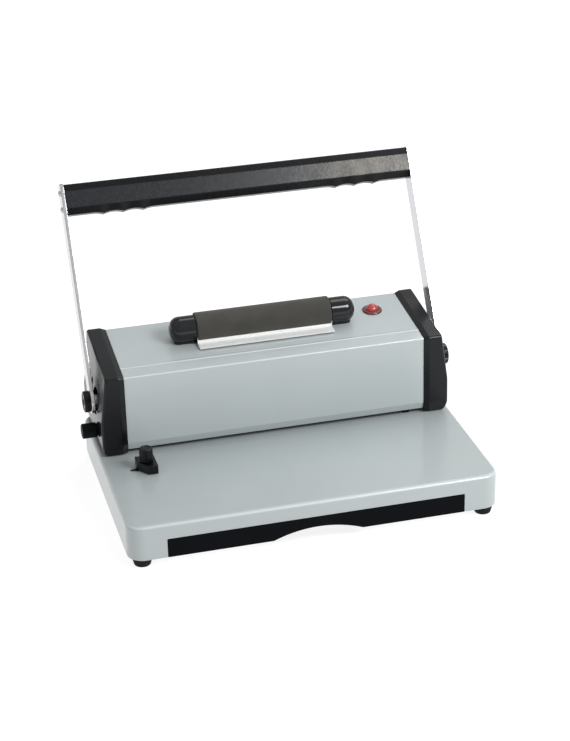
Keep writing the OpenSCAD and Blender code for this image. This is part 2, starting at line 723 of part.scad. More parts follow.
module arm() in_arm() difference() {
    union() {
        x_rod(arm_x, bolt_x, eye_r);
        x_prism(arm_x, bolt_x) polygon([[-arm_w / 2, 0], [arm_w / 2, 0], [arm_w / 2, arm_l - corner_cut],
            [arm_w / 2 - corner_cut, arm_l], [-arm_w / 2 + corner_cut, arm_l], [-arm_w / 2, arm_l - corner_cut]]);
    }
    x_rod(arm_x - 1, bolt_x + 1, spigot_r + fit);
    for (u = grip_screw_u) translate([0, grip_screw_w, u]) x_rod(arm_x - 1, bolt_x + 1, grip_screw_r + fit);
}

module right_arm() color([0.82, 0.83, 0.85]) arm();
module left_arm() color([0.82, 0.83, 0.85]) mirror([1, 0, 0]) arm();

grip_half = grip_t / 2;
// The bar's section, as [towards the back, along the arm]
grip_section = [[-grip_half, grip_low + 7], [-grip_half, grip_top - 5], [-grip_half + 4, grip_top],
    [grip_half - 3, grip_top], [grip_half, grip_top - 4], [grip_half, grip_low + 6],
    [grip_half - 5, grip_low], [-grip_half + 7, grip_low]];
ridge_far = arm_x - ridge_inset;
ridge_r = (ridge_pitch * ridge_pitch / 4 + ridge_h * ridge_h) / (2 * ridge_h);

module grip_bar() color([0.1, 0.1, 0.11]) in_arm() difference() {
    union() {
        x_prism(-arm_x, arm_x) polygon(grip_section);
        both() x_prism(ridge_far - 2.5 * ridge_pitch, ridge_far + 0.5 * ridge_pitch)
            polygon([[-grip_half + 0.6, grip_low + 7], [-grip_half + 7, grip_low - ridge_h],
                [0, grip_low - ridge_h], [4, grip_low + 1]]);
    }
    // the hollows for the fingers between the ridges
    both() for (i = [0:3]) translate([ridge_far + (0.5 - i) * ridge_pitch, 0, grip_low - ridge_r])
        rotate([90, 0, 0]) cylinder(h = 4 * grip_t, r = ridge_r, center = true, $fn = 160);
    both() for (u = grip_screw_u) translate([0, grip_screw_w, u]) x_rod(arm_x - 14, arm_x + 1, grip_screw_r + fit);
}

module grip_screws() color([0.7, 0.71, 0.73]) in_arm() both() for (u = grip_screw_u)
    translate([bolt_x, grip_screw_w, u]) rotate([0, 90, 0]) screw(3.2, 2, grip_screw_r, arm_t + 12, 1.4);

module pivot_bolts() color([0.1, 0.1, 0.11]) both() at_axis() difference() {
    union() {
        translate([bolt_x, 0, 0]) rotate([0, 90, 0]) knurled(bolt_head_d / 2, bolt_head_l, 36);
        x_rod(bolt_x - 18, bolt_x + eps, pivot_thread_r);
    }
    translate([bolt_x + 3, 0, 0]) rotate([0, 90, 0]) cylinder(h = bolt_head_l, r = 4.5, $fn = 6);
}

// ---- Coil roller and its drive ----
roller_end = sleeve_l / 2 + 0.5;
core_r = 9;
journal_r = 4;
ear_t = 3;
bearing_r = 7;
pulley_x = ear_x + ear_t + ear_gap;
pulley_w = 8;
journal_end = 3;
opening_x = [-ear_x - ear_t - 1, pulley_x + pulley_w + 0.5];
big_pulley_r = 7.7;
small_pulley_r = 5.6;
belt_t = 1.4;
roller_pt = strip_pt + roller_back * [cos(top_slope), sin(top_slope)] + roller_rise * [-sin(top_slope), cos(top_slope)];
motor_pt = [motor_y, motor_z];

module at_roller() translate([0, roller_pt[0], roller_pt[1]]) children();

module roller_shaft() color([0.75, 0.76, 0.78]) at_roller() {
    x_rod(-sleeve_l / 2, sleeve_l / 2, core_r);
    x_rod(-ear_x - ear_t - journal_end, pulley_x + pulley_w + 1, journal_r);
}

module foam_sleeve() color([0.28, 0.27, 0.25]) at_roller() difference() {
    x_rod(-sleeve_l / 2, sleeve_l / 2, sleeve_d / 2, $fn = 96);
    x_rod(-sleeve_l, sleeve_l, core_r + fit);
}

module roller_pulley() color([0.15, 0.15, 0.16]) at_roller() difference() {
    union() {
        x_rod(pulley_x, pulley_x + pulley_w, big_pulley_r);
        x_rod(pulley_x, pulley_x + 1, big_pulley_r + 1.2);
        x_rod(pulley_x + pulley_w - 1, pulley_x + pulley_w, big_pulley_r + 1.2);
    }
    x_rod(pulley_x - 1, pulley_x + pulley_w + 1, journal_r + fit);
}

module roller_bearings() color([0.72, 0.58, 0.3]) at_roller() both() difference() {
    x_rod(ear_x, ear_x + ear_t + 1, bearing_r);
    x_rod(ear_x - 1, ear_x + ear_t + 2, journal_r + fit);
}

ear_w = 22;
neck_w = 12;
ear_foot = 18;

// Each bracket is a plate under the cover with an ear that rises through the opening to the bearing
module roller_brackets() color([0.6, 0.62, 0.63]) both() difference() {
    on_top() {
        block([ear_x, roller_back - ear_w / 2, -cover_t - 24], [ear_x + ear_t, roller_back + ear_w / 2, -cover_t - seat]);
        block([ear_x, roller_back - neck_w / 2, -cover_t - 2], [ear_x + ear_t, roller_back + neck_w / 2, roller_rise]);
        block([ear_x, roller_back - opening_s - 8, -cover_t - 2.3],
            [ear_x + ear_t, roller_back + opening_s + 8, -cover_t - seat]);
        translate([ear_x, roller_back, roller_rise]) rotate([0, 90, 0]) cylinder(h = ear_t, r = ear_w / 2);
    }
    at_roller() x_rod(ear_x - 1, ear_x + ear_t + 1, bearing_r + fit);
}

housing_in = sleeve_l / 2 + 1;
housing_round = 11.5;
// An end housing's solid on the top face, shrunk by g: a round-ended barrel on a narrower upright foot
module housing_form(g) {
    r = housing_r - g;
    e = housing_round - g;
    l = housing_l - g;
    translate([housing_in, roller_back, roller_rise]) rotate([0, 90, 0]) rotate_extrude($fn = 64)
        polygon(concat([[0, 0], [r, 0]], arc([r, 0], [r, l], [0, l], e, 8), [[0, l]]));
    f = foot_half - g;
    m = housing_l - foot_end - g;
    translate([housing_in, foot_s, -g]) linear_extrude(roller_rise + g) polygon(concat(
        [[0, -f]], arc([0, -f], [m, -f], [m, f], foot_round - g, 8),
        arc([m, -f], [m, f], [0, f], foot_round - g, 8), [[0, f]]));
}

module end_housing() on_top() difference() {
    intersection() {
        housing_form(0);
        block([0, 0, 0], [housing_in + housing_l, roller_back + housing_r + 1, roller_rise + housing_r + 1]);
    }
    translate([-1, 0, 0]) housing_form(housing_wall);
}

module right_roller_housing() color([0.08, 0.08, 0.09]) end_housing();
module left_roller_housing() color([0.08, 0.08, 0.09]) mirror([1, 0, 0]) end_housing();

ledge_t = 1.2;
ledge_back = roller_back - sqrt(pow(sleeve_d / 2 + 0.8, 2) - pow(roller_rise - ledge_h, 2));
ledge_foot = 8;
ledge_half = sleeve_l / 2 + 0.5;

// A folded aluminium ledge: its foot lies on the cover and its leaf overhangs to the front
module coil_ledge() color([0.85, 0.86, 0.87]) on_top() {
    block([-ledge_half, ledge_back - ledge_d, ledge_h - ledge_t], [ledge_half, ledge_back, ledge_h]);
    block([-ledge_half, ledge_back - ledge_foot, 0], [ledge_half, ledge_back, ledge_t]);
    block([-ledge_half, ledge_back - ledge_t, 0], [ledge_half, ledge_back, ledge_h - eps]);
}

module motor_bracket() color([0.6, 0.62, 0.63]) difference() {
    union() {
        block([bracket_x, bracket_front, table_z], [bracket_x + bracket_t, bracket_back, motor_z + motor_r]);
        block([bracket_x, bracket_front, table_z], [bracket_x + bracket_foot, bracket_back, table_z + bracket_t]);
    }
    translate([0, motor_y, motor_z]) {
        x_rod(bracket_x - 1, bracket_x + bracket_t + 1, 5);
        for (s = [-1, 1]) translate([0, 0, s * motor_screw_r]) x_rod(bracket_x - 1, bracket_x + bracket_t + 1, 1.5 + fit);
    }
    for (y = bracket_screw_y) translate([bracket_screw_x, y, table_z - 1])
        cylinder(h = bracket_t + 2, r = frame_screw_r + fit);
}

motor_screw_r = 12;

module motor_screws() color([0.75, 0.75, 0.77]) {
    for (s = [-1, 1]) translate([bracket_x + bracket_t, motor_y, motor_z + s * motor_screw_r])
        rotate([0, 90, 0]) screw(2.8, 1.8, 1.5, bracket_t + 5, 1.1);
    for (y = bracket_screw_y) translate([bracket_screw_x, y, table_z + bracket_t])
        screw(3.6, 2.4, frame_screw_r, bracket_t + base_wall, 1.5);
}

module drive_motor() color([0.45, 0.46, 0.48]) translate([0, motor_y, motor_z]) difference() {
    union() {
        x_rod(motor_x, bracket_x, motor_r);
        x_rod(motor_x - 6, motor_x, motor_r - 6);
    }
    for (s = [-1, 1]) translate([0, 0, s * motor_screw_r]) x_rod(bracket_x - 6, bracket_x + 1, 1.5 + fit);
    x_rod(bracket_x - 20, bracket_x + 1, 2 + fit);
}

module motor_pulley() color([0.15, 0.15, 0.16]) translate([0, motor_y, motor_z]) {
    x_rod(bracket_x - 18, pulley_x + pulley_w, 2);
    x_rod(pulley_x, pulley_x + pulley_w, small_pulley_r);
    x_rod(pulley_x, pulley_x + 1, small_pulley_r + 1.2);
    x_rod(pulley_x + pulley_w - 1, pulley_x + pulley_w, small_pulley_r + 1.2);
}

module belt_loop(g) hull() {
    translate(roller_pt) circle(big_pulley_r + g, $fn = 64);
    translate(motor_pt) circle(small_pulley_r + g, $fn = 64);
}

module drive_belt() color([0.07, 0.07, 0.07])
    x_prism(pulley_x + 1 + seat, pulley_x + pulley_w - 1 - seat) difference() {
        belt_loop(seat + belt_t);
        belt_loop(seat);
    }

// ---- Start button ----
module at_button() on_top() translate([button_x, button_back, 0]) children();
neck_l = 9;
bezel_t = 2.2;
switch_w = 17;
switch_l = 16;
stem_r = 2;

module switch_bezel() color([0.1, 0.1, 0.11]) at_button() difference() {
    rotate_extrude() polygon([[0, -neck_l], [bezel_neck_r, -neck_l], [bezel_neck_r, 0], [bezel_d / 2, 0],
        [bezel_d / 2, 0.8], [bezel_d / 2 - 1.6, bezel_t], [0, bezel_t]]);
    translate([0, 0, -neck_l - 1]) cylinder(h = neck_l + bezel_t + 2, r = button_d / 2 + fit);
}

module power_button() color([0.75, 0.08, 0.08]) at_button() {
    translate([0, 0, -5]) cylinder(h = 5 + bezel_t, r = button_d / 2);
    translate([0, 0, bezel_t]) intersection() {
        translate([0, 0, 5.6 - dome_r]) sphere(dome_r, $fn = 64);
        cylinder(h = 10, r = button_d / 2);
    }
    translate([0, 0, -neck_l - 2.5]) cylinder(h = neck_l, r = stem_r);
}

dome_r = (pow(button_d / 2, 2) + pow(5.6, 2)) / (2 * 5.6);

module switch_body() color([0.13, 0.13, 0.14]) at_button() difference() {
    translate([-switch_w / 2, -switch_w / 2, -neck_l - switch_l]) cube([switch_w, switch_w, switch_l]);
    translate([0, 0, -neck_l - button_travel - 4]) cylinder(h = 20, r = stem_r + fit);
}

// ---- Power inlet, board ----
inlet_depth = 20;
pin_spots = [[-7, -2], [0, 2], [7, -2]];

module power_inlet() color([0.1, 0.1, 0.11]) on_back() translate([inlet_x, 0, inlet_z]) difference() {
    union() {
        block([-inlet_w / 2, -inlet_depth, -inlet_h / 2], [inlet_w / 2, 1, inlet_h / 2]);
        block([-inlet_w / 2 - 11, eps, -inlet_h / 2 - 3], [inlet_w / 2 + 11, 2, inlet_h / 2 + 3]);
    }
    block([-12, -16, -8.2], [12, 3, 8.2]);
    for (p = pin_spots) translate([p[0], -inlet_depth - 1, p[1]]) rotate([-90, 0, 0]) cylinder(h = 10, r = 1 + fit);
    for (s = [-1, 1]) translate([s * (inlet_w / 2 + 6), -1, 0]) rotate([-90, 0, 0]) cylinder(h = 4, r = 1.6 + fit);
}

module inlet_pins() color([0.8, 0.78, 0.7]) on_back() translate([inlet_x, 0, inlet_z]) for (p = pin_spots)
    translate([p[0], -inlet_depth - 4, p[1]]) rotate([-90, 0, 0]) cylinder(h = inlet_depth, r = 1);

module inlet_screws() color([0.75, 0.75, 0.77]) on_back() translate([inlet_x, 2, inlet_z]) for (s = [-1, 1])
    translate([s * (inlet_w / 2 + 6), 0, 0]) rotate([-90, 0, 0]) screw(3, 1.6, 1.6, 1.9, 1.2);

board_t = board_size[1];
board_y = [axis_y + die_d / 2 + 12, axis_y + die_d / 2 + 12 + board_size[0]];
board_x = [-cover_x + board_inset, -board_mid];
board_z = table_z + 10;
standoff_r = 3;

module at_standoffs() for (x = [board_x[0] + 5, board_x[1] - 5], y = [board_y[0] + 5, board_y[1] - 5])
    translate([x, y, 0]) children();

module board_standoffs() color([0.8, 0.78, 0.7]) at_standoffs() {
    translate([0, 0, table_z]) cylinder(h = board_z - table_z, r = standoff_r);
    translate([0, 0, table_z]) cylinder(h = board_z - table_z + board_t + 2, r = 1.4);
}

module control_board() color([0.1, 0.35, 0.2]) difference() {
    block([board_x[0], board_y[0], board_z], [board_x[1], board_y[1], board_z + board_t]);
    at_standoffs() translate([0, 0, board_z - 1]) cylinder(h = board_t + 2, r = 1.4 + fit);
}

// A transformer, two capacitors and a relay, spaced along the board's length
module board_parts() color([0.2, 0.22, 0.3]) translate([board_x[0], board_y[0], board_z + board_t]) {
    l = board_x[1] - board_x[0];
    d = board_size[0];
    block([l / 8, d / 8, 0], [l / 2 - 4, d * 7 / 8, 24]);
    translate([l * 0.62, d * 0.36, 0]) cylinder(h = 18, r = 6);
    translate([l * 0.79, d * 0.36, 0]) cylinder(h = 14, r = 5);
    block([l * 0.56, d * 0.65, 0], [l * 0.86, d * 0.86, 9]);
}

// ---- Paper stops ----
stop_w = 8;
stop_h = 5;

module right_edge_stop() color([0.1, 0.1, 0.11])
    block([sheet_half, face_y + 6.5, table_z], [sheet_half + stop_w, axis_y - die_d / 2 - 0.5, table_z + stop_h]);

guide_half = guide_size / 2;

module edge_guide() color([0.08, 0.08, 0.09]) translate([guide_x, guide_y, table_z + seat]) difference() {
    union() {
        linear_extrude(guide_size[2]) polygon([[-guide_half[0], 0], [-guide_half[0] + 10, -guide_half[1]],
            [guide_half[0], -guide_half[1]], [guide_half[0], guide_half[1]], [-guide_half[0], guide_half[1]]]);
        linear_extrude(1.2) polygon([[-guide_half[0] - 8, 1], [-guide_half[0] + 1, -2.5], [-guide_half[0] + 1, 4.5]]);
    }
    translate([0, 0, -1]) cylinder(h = guide_size[2] + 2, r = stud_r + fit);
}

module guide_knob() color([0.1, 0.1, 0.11]) translate([guide_x, guide_y, 0]) {
    translate([0, 0, table_z + seat + guide_size[2] + seat]) knurled(guide_knob_d / 2, guide_knob_h, 28);
    translate([0, 0, deck_z - 7]) cylinder(h = 9 + base_wall + guide_size[2], r = stud_r);
}

module guide_nut() color([0.6, 0.62, 0.63]) translate([guide_x, guide_y, deck_z - 5.3]) difference() {
    translate([-6, -6, 0]) cube([12, 12, 5]);
    translate([0, 0, -1]) cylinder(h = 8, r = stud_r + fit);
}

// ---- Margin knob and depth stop ----
margin_y = axis_y - 8;
margin_z = axis_z - 32;
margin_shaft_r = 3;
eccentric_r = 5;
yoke_x = ram_half + 4.5;
yoke_t = 2.5;
stop_y = axis_y + 4.5;
stop_t = 1.9;
stop_bar = [axis_y + die_d / 2 + 0.5 + margin_throw, axis_y + die_d / 2 + 9];

module margin_shaft() color([0.75, 0.76, 0.78]) mirror([1, 0, 0]) {
    translate([0, margin_y, margin_z]) x_rod(yoke_x - 0.5, foot_x + seat + 8, margin_shaft_r);
    translate([0, margin_y, margin_z + margin_throw]) x_rod(yoke_x - 0.5, yoke_x + yoke_t + 0.5, eccentric_r);
}

module margin_knob() color([0.08, 0.08, 0.09]) mirror([1, 0, 0]) translate([foot_x + seat, margin_y, margin_z])
    rotate([0, 90, 0]) difference() {
        knurled(margin_knob_d / 2, margin_knob_l, 30);
        translate([0, 0, -1]) cylinder(h = 9.1, r = margin_shaft_r + fit);
    }

// A strip in the throat that the sheets stop against, with a yoke about the margin shaft's eccentric
module depth_stop() color([0.6, 0.62, 0.63]) {
    block([-yoke_x - yoke_t, stop_bar[0], throat_z + seat], [row_half, stop_bar[1], throat_z + seat + stop_t]);
    block([-row_half, stop_y, throat_z + seat], [row_half, stop_bar[0] + eps, throat_z + seat + stop_t]);
    mirror([1, 0, 0]) difference() {
        x_prism(yoke_x, yoke_x + yoke_t) polygon([[stop_bar[0], throat_z + seat],
            [stop_bar[1], throat_z + seat], [stop_bar[1], margin_z - 2],
            [margin_y + eccentric_r + 8, margin_z + 12], [margin_y - eccentric_r - 4, margin_z + 12],
            [margin_y - eccentric_r - 4, margin_z - 10], [stop_bar[0] - 5, margin_z - 10]]);
        translate([yoke_x - 1, margin_y - eccentric_r - 0.2, margin_z - eccentric_r - 1])
            cube([yoke_t + 2, 2 * eccentric_r + 0.4, 2 * eccentric_r + 2 + margin_throw]);
    }
}

base_cover();
base_plate();
rubber_feet();
foot_screws();
drawer_runners();
left_side_frame();
right_side_frame();
frame_screws();
tie_rods();
body_cover();
left_end_cap();
right_end_cap();
end_cap_screws();
lower_die();
throat_spacers();
upper_die();
die_screws();
guide_rods();
return_springs();
shaft_bushes();
motor_bracket();
motor_screws();
drive_motor();
drive_belt();
roller_brackets();
roller_bearings();
left_roller_housing();
right_roller_housing();
coil_ledge();
switch_bezel();
switch_body();
power_inlet();
inlet_pins();
inlet_screws();
control_board();
board_parts();
board_standoffs();
right_edge_stop();
main_shaft();
punch_cams();
left_arm();
right_arm();
grip_bar();
grip_screws();
pivot_bolts();
ram_bar();
punch_pins();
roller_shaft();
foam_sleeve();
roller_pulley();
motor_pulley();
power_button();
edge_guide();
guide_nut();
guide_knob();
margin_shaft();
margin_knob();
depth_stop();
drawer_front();
drawer_tray();
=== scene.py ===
# Looks of the coil punch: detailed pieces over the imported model, in its frame.
# Sizes are in millimetres, with x to the right, y to the back and z up. make() turns them into metres.
import json
import math

import bmesh
import bpy
from mathutils import Matrix, Vector


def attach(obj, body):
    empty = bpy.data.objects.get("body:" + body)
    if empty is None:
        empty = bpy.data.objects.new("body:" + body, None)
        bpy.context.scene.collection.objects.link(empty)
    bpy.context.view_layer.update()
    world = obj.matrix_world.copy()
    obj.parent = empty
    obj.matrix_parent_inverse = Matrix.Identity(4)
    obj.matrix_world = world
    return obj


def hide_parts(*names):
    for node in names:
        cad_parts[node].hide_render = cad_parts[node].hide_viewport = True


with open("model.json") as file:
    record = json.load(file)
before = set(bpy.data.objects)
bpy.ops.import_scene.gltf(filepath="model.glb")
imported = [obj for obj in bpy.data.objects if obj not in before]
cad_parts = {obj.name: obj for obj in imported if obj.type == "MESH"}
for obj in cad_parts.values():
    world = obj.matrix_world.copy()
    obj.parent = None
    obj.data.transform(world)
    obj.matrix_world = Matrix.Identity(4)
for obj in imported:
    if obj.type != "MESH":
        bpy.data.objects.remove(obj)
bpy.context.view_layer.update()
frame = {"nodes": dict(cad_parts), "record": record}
MM = 0.001
TAU = 2 * math.pi

# ---------------------------------------------------------------- places, as in the model
# table: top and rim heights, width, depth, corner and edge radii, wall
TABLE_Z, RIM_Z = 49.5, 10.0
BASE_W, BASE_D, BASE_R, BASE_EDGE, BASE_WALL = 408.0, 280.0, 18.0, 4.5, 2.5
FRONT_Y = -BASE_D / 2
FOOT_AT = (188.5, 127.0)
# head cover's section in (y, z), from the lip of its front round to its heel at the back
LIP, LOW, FOLD = (27.5, 55.0), (25.0, 63.0), (26.0, 142.5)
STRIP, BACK, HEEL = (46.0, 144.9), (137.0, 154.3), (137.0, 49.5)
COVER_X, COVER_T = 171.5, 1.5
TOP_SLOPE = math.atan2(9.4, 91.0)
# end caps: outer half widths at the top and at the foot, lowest edge, and the bends of their outline
CAP_X, CAP_FOOT_X, CAP_LOW = 193.0, 200.0, 51.5
CAP_KNEE, CAP_SHOULDER, CAP_STEPS = 61.0, 130.0, 24
# handle: pivot in (y, z), inner and outer faces of the right arm, lean to the back, reach of the grip
AXIS = (66.0, 101.0)
ARM_X, BOLT_X, LEAN = 200.5, 204.5, math.radians(30.8)
GRIP_LOW, GRIP_TOP = 209.2, 243.8
# on the top face: roller's axis up the slope and off the face, sleeve's radius and half length, button
ROLLER_S, ROLLER_H, SLEEVE_R, SLEEVE_X = 43.2, 14.6, 17.0, 77.5
BUTTON_X, BUTTON_S = 134, 56.0
# margin knob in (y, z), edge guide's knob in (x, y) and the guide's underside, power inlet off the heel
MARGIN_AT = (58, 69)
GUIDE_AT, GUIDE_Z = (-159.0, -15.0), TABLE_Z + 0.3
INLET_X, INLET_Z = 120.0, 26.0


# ---------------------------------------------------------------- vectors and outlines
def unit(v):
    n = math.hypot(*v)
    return (v[0] / n, v[1] / n)


def arc(a, b, c, r, n=6):
    """The arc of radius r that rounds the corner b between a and c."""
    u, v = unit((a[0] - b[0], a[1] - b[1])), unit((c[0] - b[0], c[1] - b[1]))
    half = math.acos(max(-1, min(1, u[0] * v[0] + u[1] * v[1]))) / 2
    if half > math.pi / 2 - 0.002:
        return [b]
    w = unit((u[0] + v[0], u[1] + v[1]))
    mid = (b[0] + w[0] * r / math.sin(half), b[1] + w[1] * r / math.sin(half))
    run = r / math.tan(half)
    s = (b[0] + u[0] * run - mid[0], b[1] + u[1] * run - mid[1])
    e = (b[0] + v[0] * run - mid[0], b[1] + v[1] * run - mid[1])
    a0 = math.atan2(s[1], s[0])
    sweep = (math.atan2(e[1], e[0]) - a0 + math.pi) % TAU - math.pi
    return [(mid[0] + r * math.cos(a0 + sweep * i / n), mid[1] + r * math.sin(a0 + sweep * i / n))
            for i in range(n + 1)]


def rounded(p, r, n=6):
    """A closed outline with its corners rounded. r is one radius, or one for each corner."""
    rs = r if isinstance(r, (list, tuple)) else [r] * len(p)
    out = []
    for i, b in enumerate(p):
        out += arc(p[i - 1], b, p[(i + 1) % len(p)], rs[i], n) if rs[i] > 0 else [b]
    return out


def rounded_path(p, rs, n=6):
    """An open path whose inner corners are rounded by the radii rs."""
    out = [p[0]]
    for i in range(1, len(p) - 1):
        out += arc(p[i - 1], p[i], p[i + 1], rs[i - 1], n)
    return out + [p[-1]]


def shifted(p, t, closed=False):
    """A path moved by t to its right-hand side."""
    out = []
    n = len(p)
    for i in range(n):
        a = p[i - 1] if i or closed else None
        c = p[(i + 1) % n] if i < n - 1 or closed else None
        normals = []
        for s, e in ((a, p[i]), (p[i], c)):
            if s is not None and e is not None:
                d = unit((e[0] - s[0], e[1] - s[1]))
                normals.append((d[1], -d[0]))
        if len(normals) == 1:
            out.append((p[i][0] + t * normals[0][0], p[i][1] + t * normals[0][1]))
        else:
            n1, n2 = normals
            k = t / (1 + n1[0] * n2[0] + n1[1] * n2[1])
            out.append((p[i][0] + k * (n1[0] + n2[0]), p[i][1] + k * (n1[1] + n2[1])))
    return out


def ccw(p):
    """The outline turned counter-clockwise."""
    area = sum(p[i - 1][0] * p[i][1] - p[i][0] * p[i - 1][1] for i in range(len(p))) / 2
    return list(p) if area > 0 else list(reversed(p))


def inset(p, d):
    """A counter-clockwise outline drawn in by d."""
    return shifted(p, -d, closed=True)


def circle(r, n, cx=0.0, cy=0.0):
    return [(cx + r * math.cos(TAU * i / n), cy + r * math.sin(TAU * i / n)) for i in range(n)]


def block(x0, y0, x1, y1):
    return [(x0, y0), (x1, y0), (x1, y1), (x0, y1)]


# ---------------------------------------------------------------- meshes
def make(name, verts, faces):
    me = bpy.data.meshes.new(name)
    me.from_pydata([tuple(c * MM for c in v) for v in verts], [], faces)
    me.validate()
    ob = bpy.data.objects.new(name, me)
    bpy.context.scene.collection.objects.link(ob)
    return ob


def loft(name, rings, loop=False):
    """Rings of equal length joined by quads. Its ends are closed with one face each, or it loops round."""
    n = len(rings[0])
    verts = [v for ring in rings for v in ring]
    faces = []
    for k in range(len(rings) if loop else len(rings) - 1):
        a, b = k * n, ((k + 1) % len(rings)) * n
        for i in range(n):
            j = (i + 1) % n
            faces.append((a + i, a + j, b + j, b + i))
    if not loop:
        faces.append(tuple(reversed(range(n))))
        faces.append(tuple(range((len(rings) - 1) * n, len(rings) * n)))
    return make(name, verts, faces)


def evaluated(ob):
    """The object with its modifiers applied."""
    bpy.context.view_layer.update()
    dg = bpy.context.evaluated_depsgraph_get()
    me = bpy.data.meshes.new_from_object(ob.evaluated_get(dg))
    ob.modifiers.clear()
    ob.data = me
    return ob


def outward(ob):
    """Merges doubled points and turns the faces outward."""
    bm = bmesh.new()
    bm.from_mesh(ob.data)
    bmesh.ops.remove_doubles(bm, verts=bm.verts, dist=1e-6)
    bmesh.ops.recalc_face_normals(bm, faces=bm.faces)
    bm.to_mesh(ob.data)
    bm.free()
    return ob


def cut(ob, tool, op="DIFFERENCE"):
    m = ob.modifiers.new("cut", "BOOLEAN")
    m.operation = op
    m.solver = "EXACT"
    m.object = tool
    evaluated(ob)
    bpy.data.objects.remove(tool)
    return ob


def joined(name, parts):
    verts, faces = [], []
    for p in parts:
        base = len(verts)
        verts += [tuple(c / MM for c in p.matrix_world @ v.co) for v in p.data.vertices]
        faces += [tuple(base + i for i in f.vertices) for f in p.data.polygons]
        bpy.data.objects.remove(p)
    return make(name, verts, faces)


def prism(name, outline, lo, hi, place, b=0.4, n=3):
    """An outline extruded from lo to hi, its end edges rounded by b. place(u, v, h) gives the point."""
    p = ccw(outline)
    rings = []
    for i in range(n + 1):
        a = math.pi / 2 * i / n
        rings.append((b * (1 - math.sin(a)), lo + b * (1 - math.cos(a))))
    rings += [(d, hi - (h - lo)) for d, h in reversed(rings)]
    drawn = [(inset(p, d) if d > 1e-9 else p, h) for d, h in rings]
    return outward(loft(name, [[place(u, v, h) for u, v in q] for q, h in drawn]))


def carve(ob, outline, lo, hi, place, op="DIFFERENCE"):
    """Cuts a sharp-edged prism out of the object, or adds it."""
    return cut(ob, prism("tool", outline, lo, hi, place, 0.001, 1), op)


def turned(profile, place, n):
    """The rings of a profile of (radius, height) turned about an axis. place(u, v, h) gives the point."""
    return [[place(max(r, 0.001) * math.cos(TAU * i / n), max(r, 0.001) * math.sin(TAU * i / n), h)
             for i in range(n)] for r, h in profile]


def on_x(u, v, h):      # an outline in (y, z), extruded along x
    return (h, u, v)


def on_y(u, v, h):      # an outline in (x, z), extruded along y
    return (u, h, v)


def on_z(u, v, h):
    return (u, v, h)


def top(x, s, h):
    """A point over the sloping top face: s up the slope from its front edge, h off the face."""
    c, k = math.cos(TOP_SLOPE), math.sin(TOP_SLOPE)
    return (x, STRIP[0] + s * c - h * k, STRIP[1] + s * k + h * c)


def arm(x, w, u):
    """A point of the handle: u along the arms, w towards the back."""
    c, k = math.cos(LEAN), math.sin(LEAN)
    return (x, AXIS[0] + u * k + w * c, AXIS[1] + u * c - w * k)


# ---------------------------------------------------------------- materials
FINE = 0.0002           # depth of the finest bumps, in metres


def material(name):
    m = bpy.data.materials.new(name)
    m.use_nodes = True
    t = m.node_tree
    bsdf = next(n for n in t.nodes if n.type == "BSDF_PRINCIPLED")
    coord = t.nodes.new("ShaderNodeTexCoord")
    return m, t, bsdf, coord


def noise(t, coord, scale, detail=3.0, stretch=None, rough=0.5):
    n = t.nodes.new("ShaderNodeTexNoise")
    n.inputs["Scale"].default_value = scale
    n.inputs["Detail"].default_value = detail
    n.inputs["Roughness"].default_value = rough
    if stretch:
        mp = t.nodes.new("ShaderNodeMapping")
        mp.inputs["Scale"].default_value = stretch
        t.links.new(coord.outputs["Object"], mp.inputs["Vector"])
        t.links.new(mp.outputs["Vector"], n.inputs["Vector"])
    else:
        t.links.new(coord.outputs["Object"], n.inputs["Vector"])
    return n


def ramp(t, src, lo, hi, a=0.35, b=0.65):
    """Goes from lo to hi while src goes from a to b."""
    r = t.nodes.new("ShaderNodeMapRange")
    r.inputs["From Min"].default_value = a
    r.inputs["From Max"].default_value = b
    r.inputs["To Min"].default_value = lo
    r.inputs["To Max"].default_value = hi
    t.links.new(src, r.inputs["Value"])
    return r.outputs["Result"]


def tint(t, bsdf, src, c0, c1, a=0.3, b=0.7):
    """Feeds the base colour with c0 to c1 while src goes from a to b."""
    r = t.nodes.new("ShaderNodeValToRGB")
    r.color_ramp.elements[0].position = a
    r.color_ramp.elements[0].color = (*c0, 1)
    r.color_ramp.elements[1].position = b
    r.color_ramp.elements[1].color = (*c1, 1)
    t.links.new(src, r.inputs["Fac"])
    t.links.new(r.outputs["Color"], bsdf.inputs["Base Color"])


def bump(t, bsdf, src, strength, distance):
    b = t.nodes.new("ShaderNodeBump")
    b.inputs["Strength"].default_value = strength
    b.inputs["Distance"].default_value = distance
    t.links.new(src, b.inputs["Height"])
    t.links.new(b.outputs["Normal"], bsdf.inputs["Normal"])


def times(t, a, b):
    q = t.nodes.new("ShaderNodeMath")
    q.operation = "MULTIPLY"
    t.links.new(a, q.inputs[0])
    t.links.new(b, q.inputs[1])
    return q.outputs[0]


def blend(t, bsdf, fac, second):
    """Mixes what feeds the base colour with the second colour, by fac."""
    old = bsdf.inputs["Base Color"].links[0].from_socket
    q = t.nodes.new("ShaderNodeMix")
    q.data_type = "RGBA"
    t.links.new(fac, q.inputs["Factor"])
    t.links.new(old, q.inputs[6])
    q.inputs[7].default_value = (*second, 1)
    t.links.new(q.outputs[2], bsdf.inputs["Base Color"])


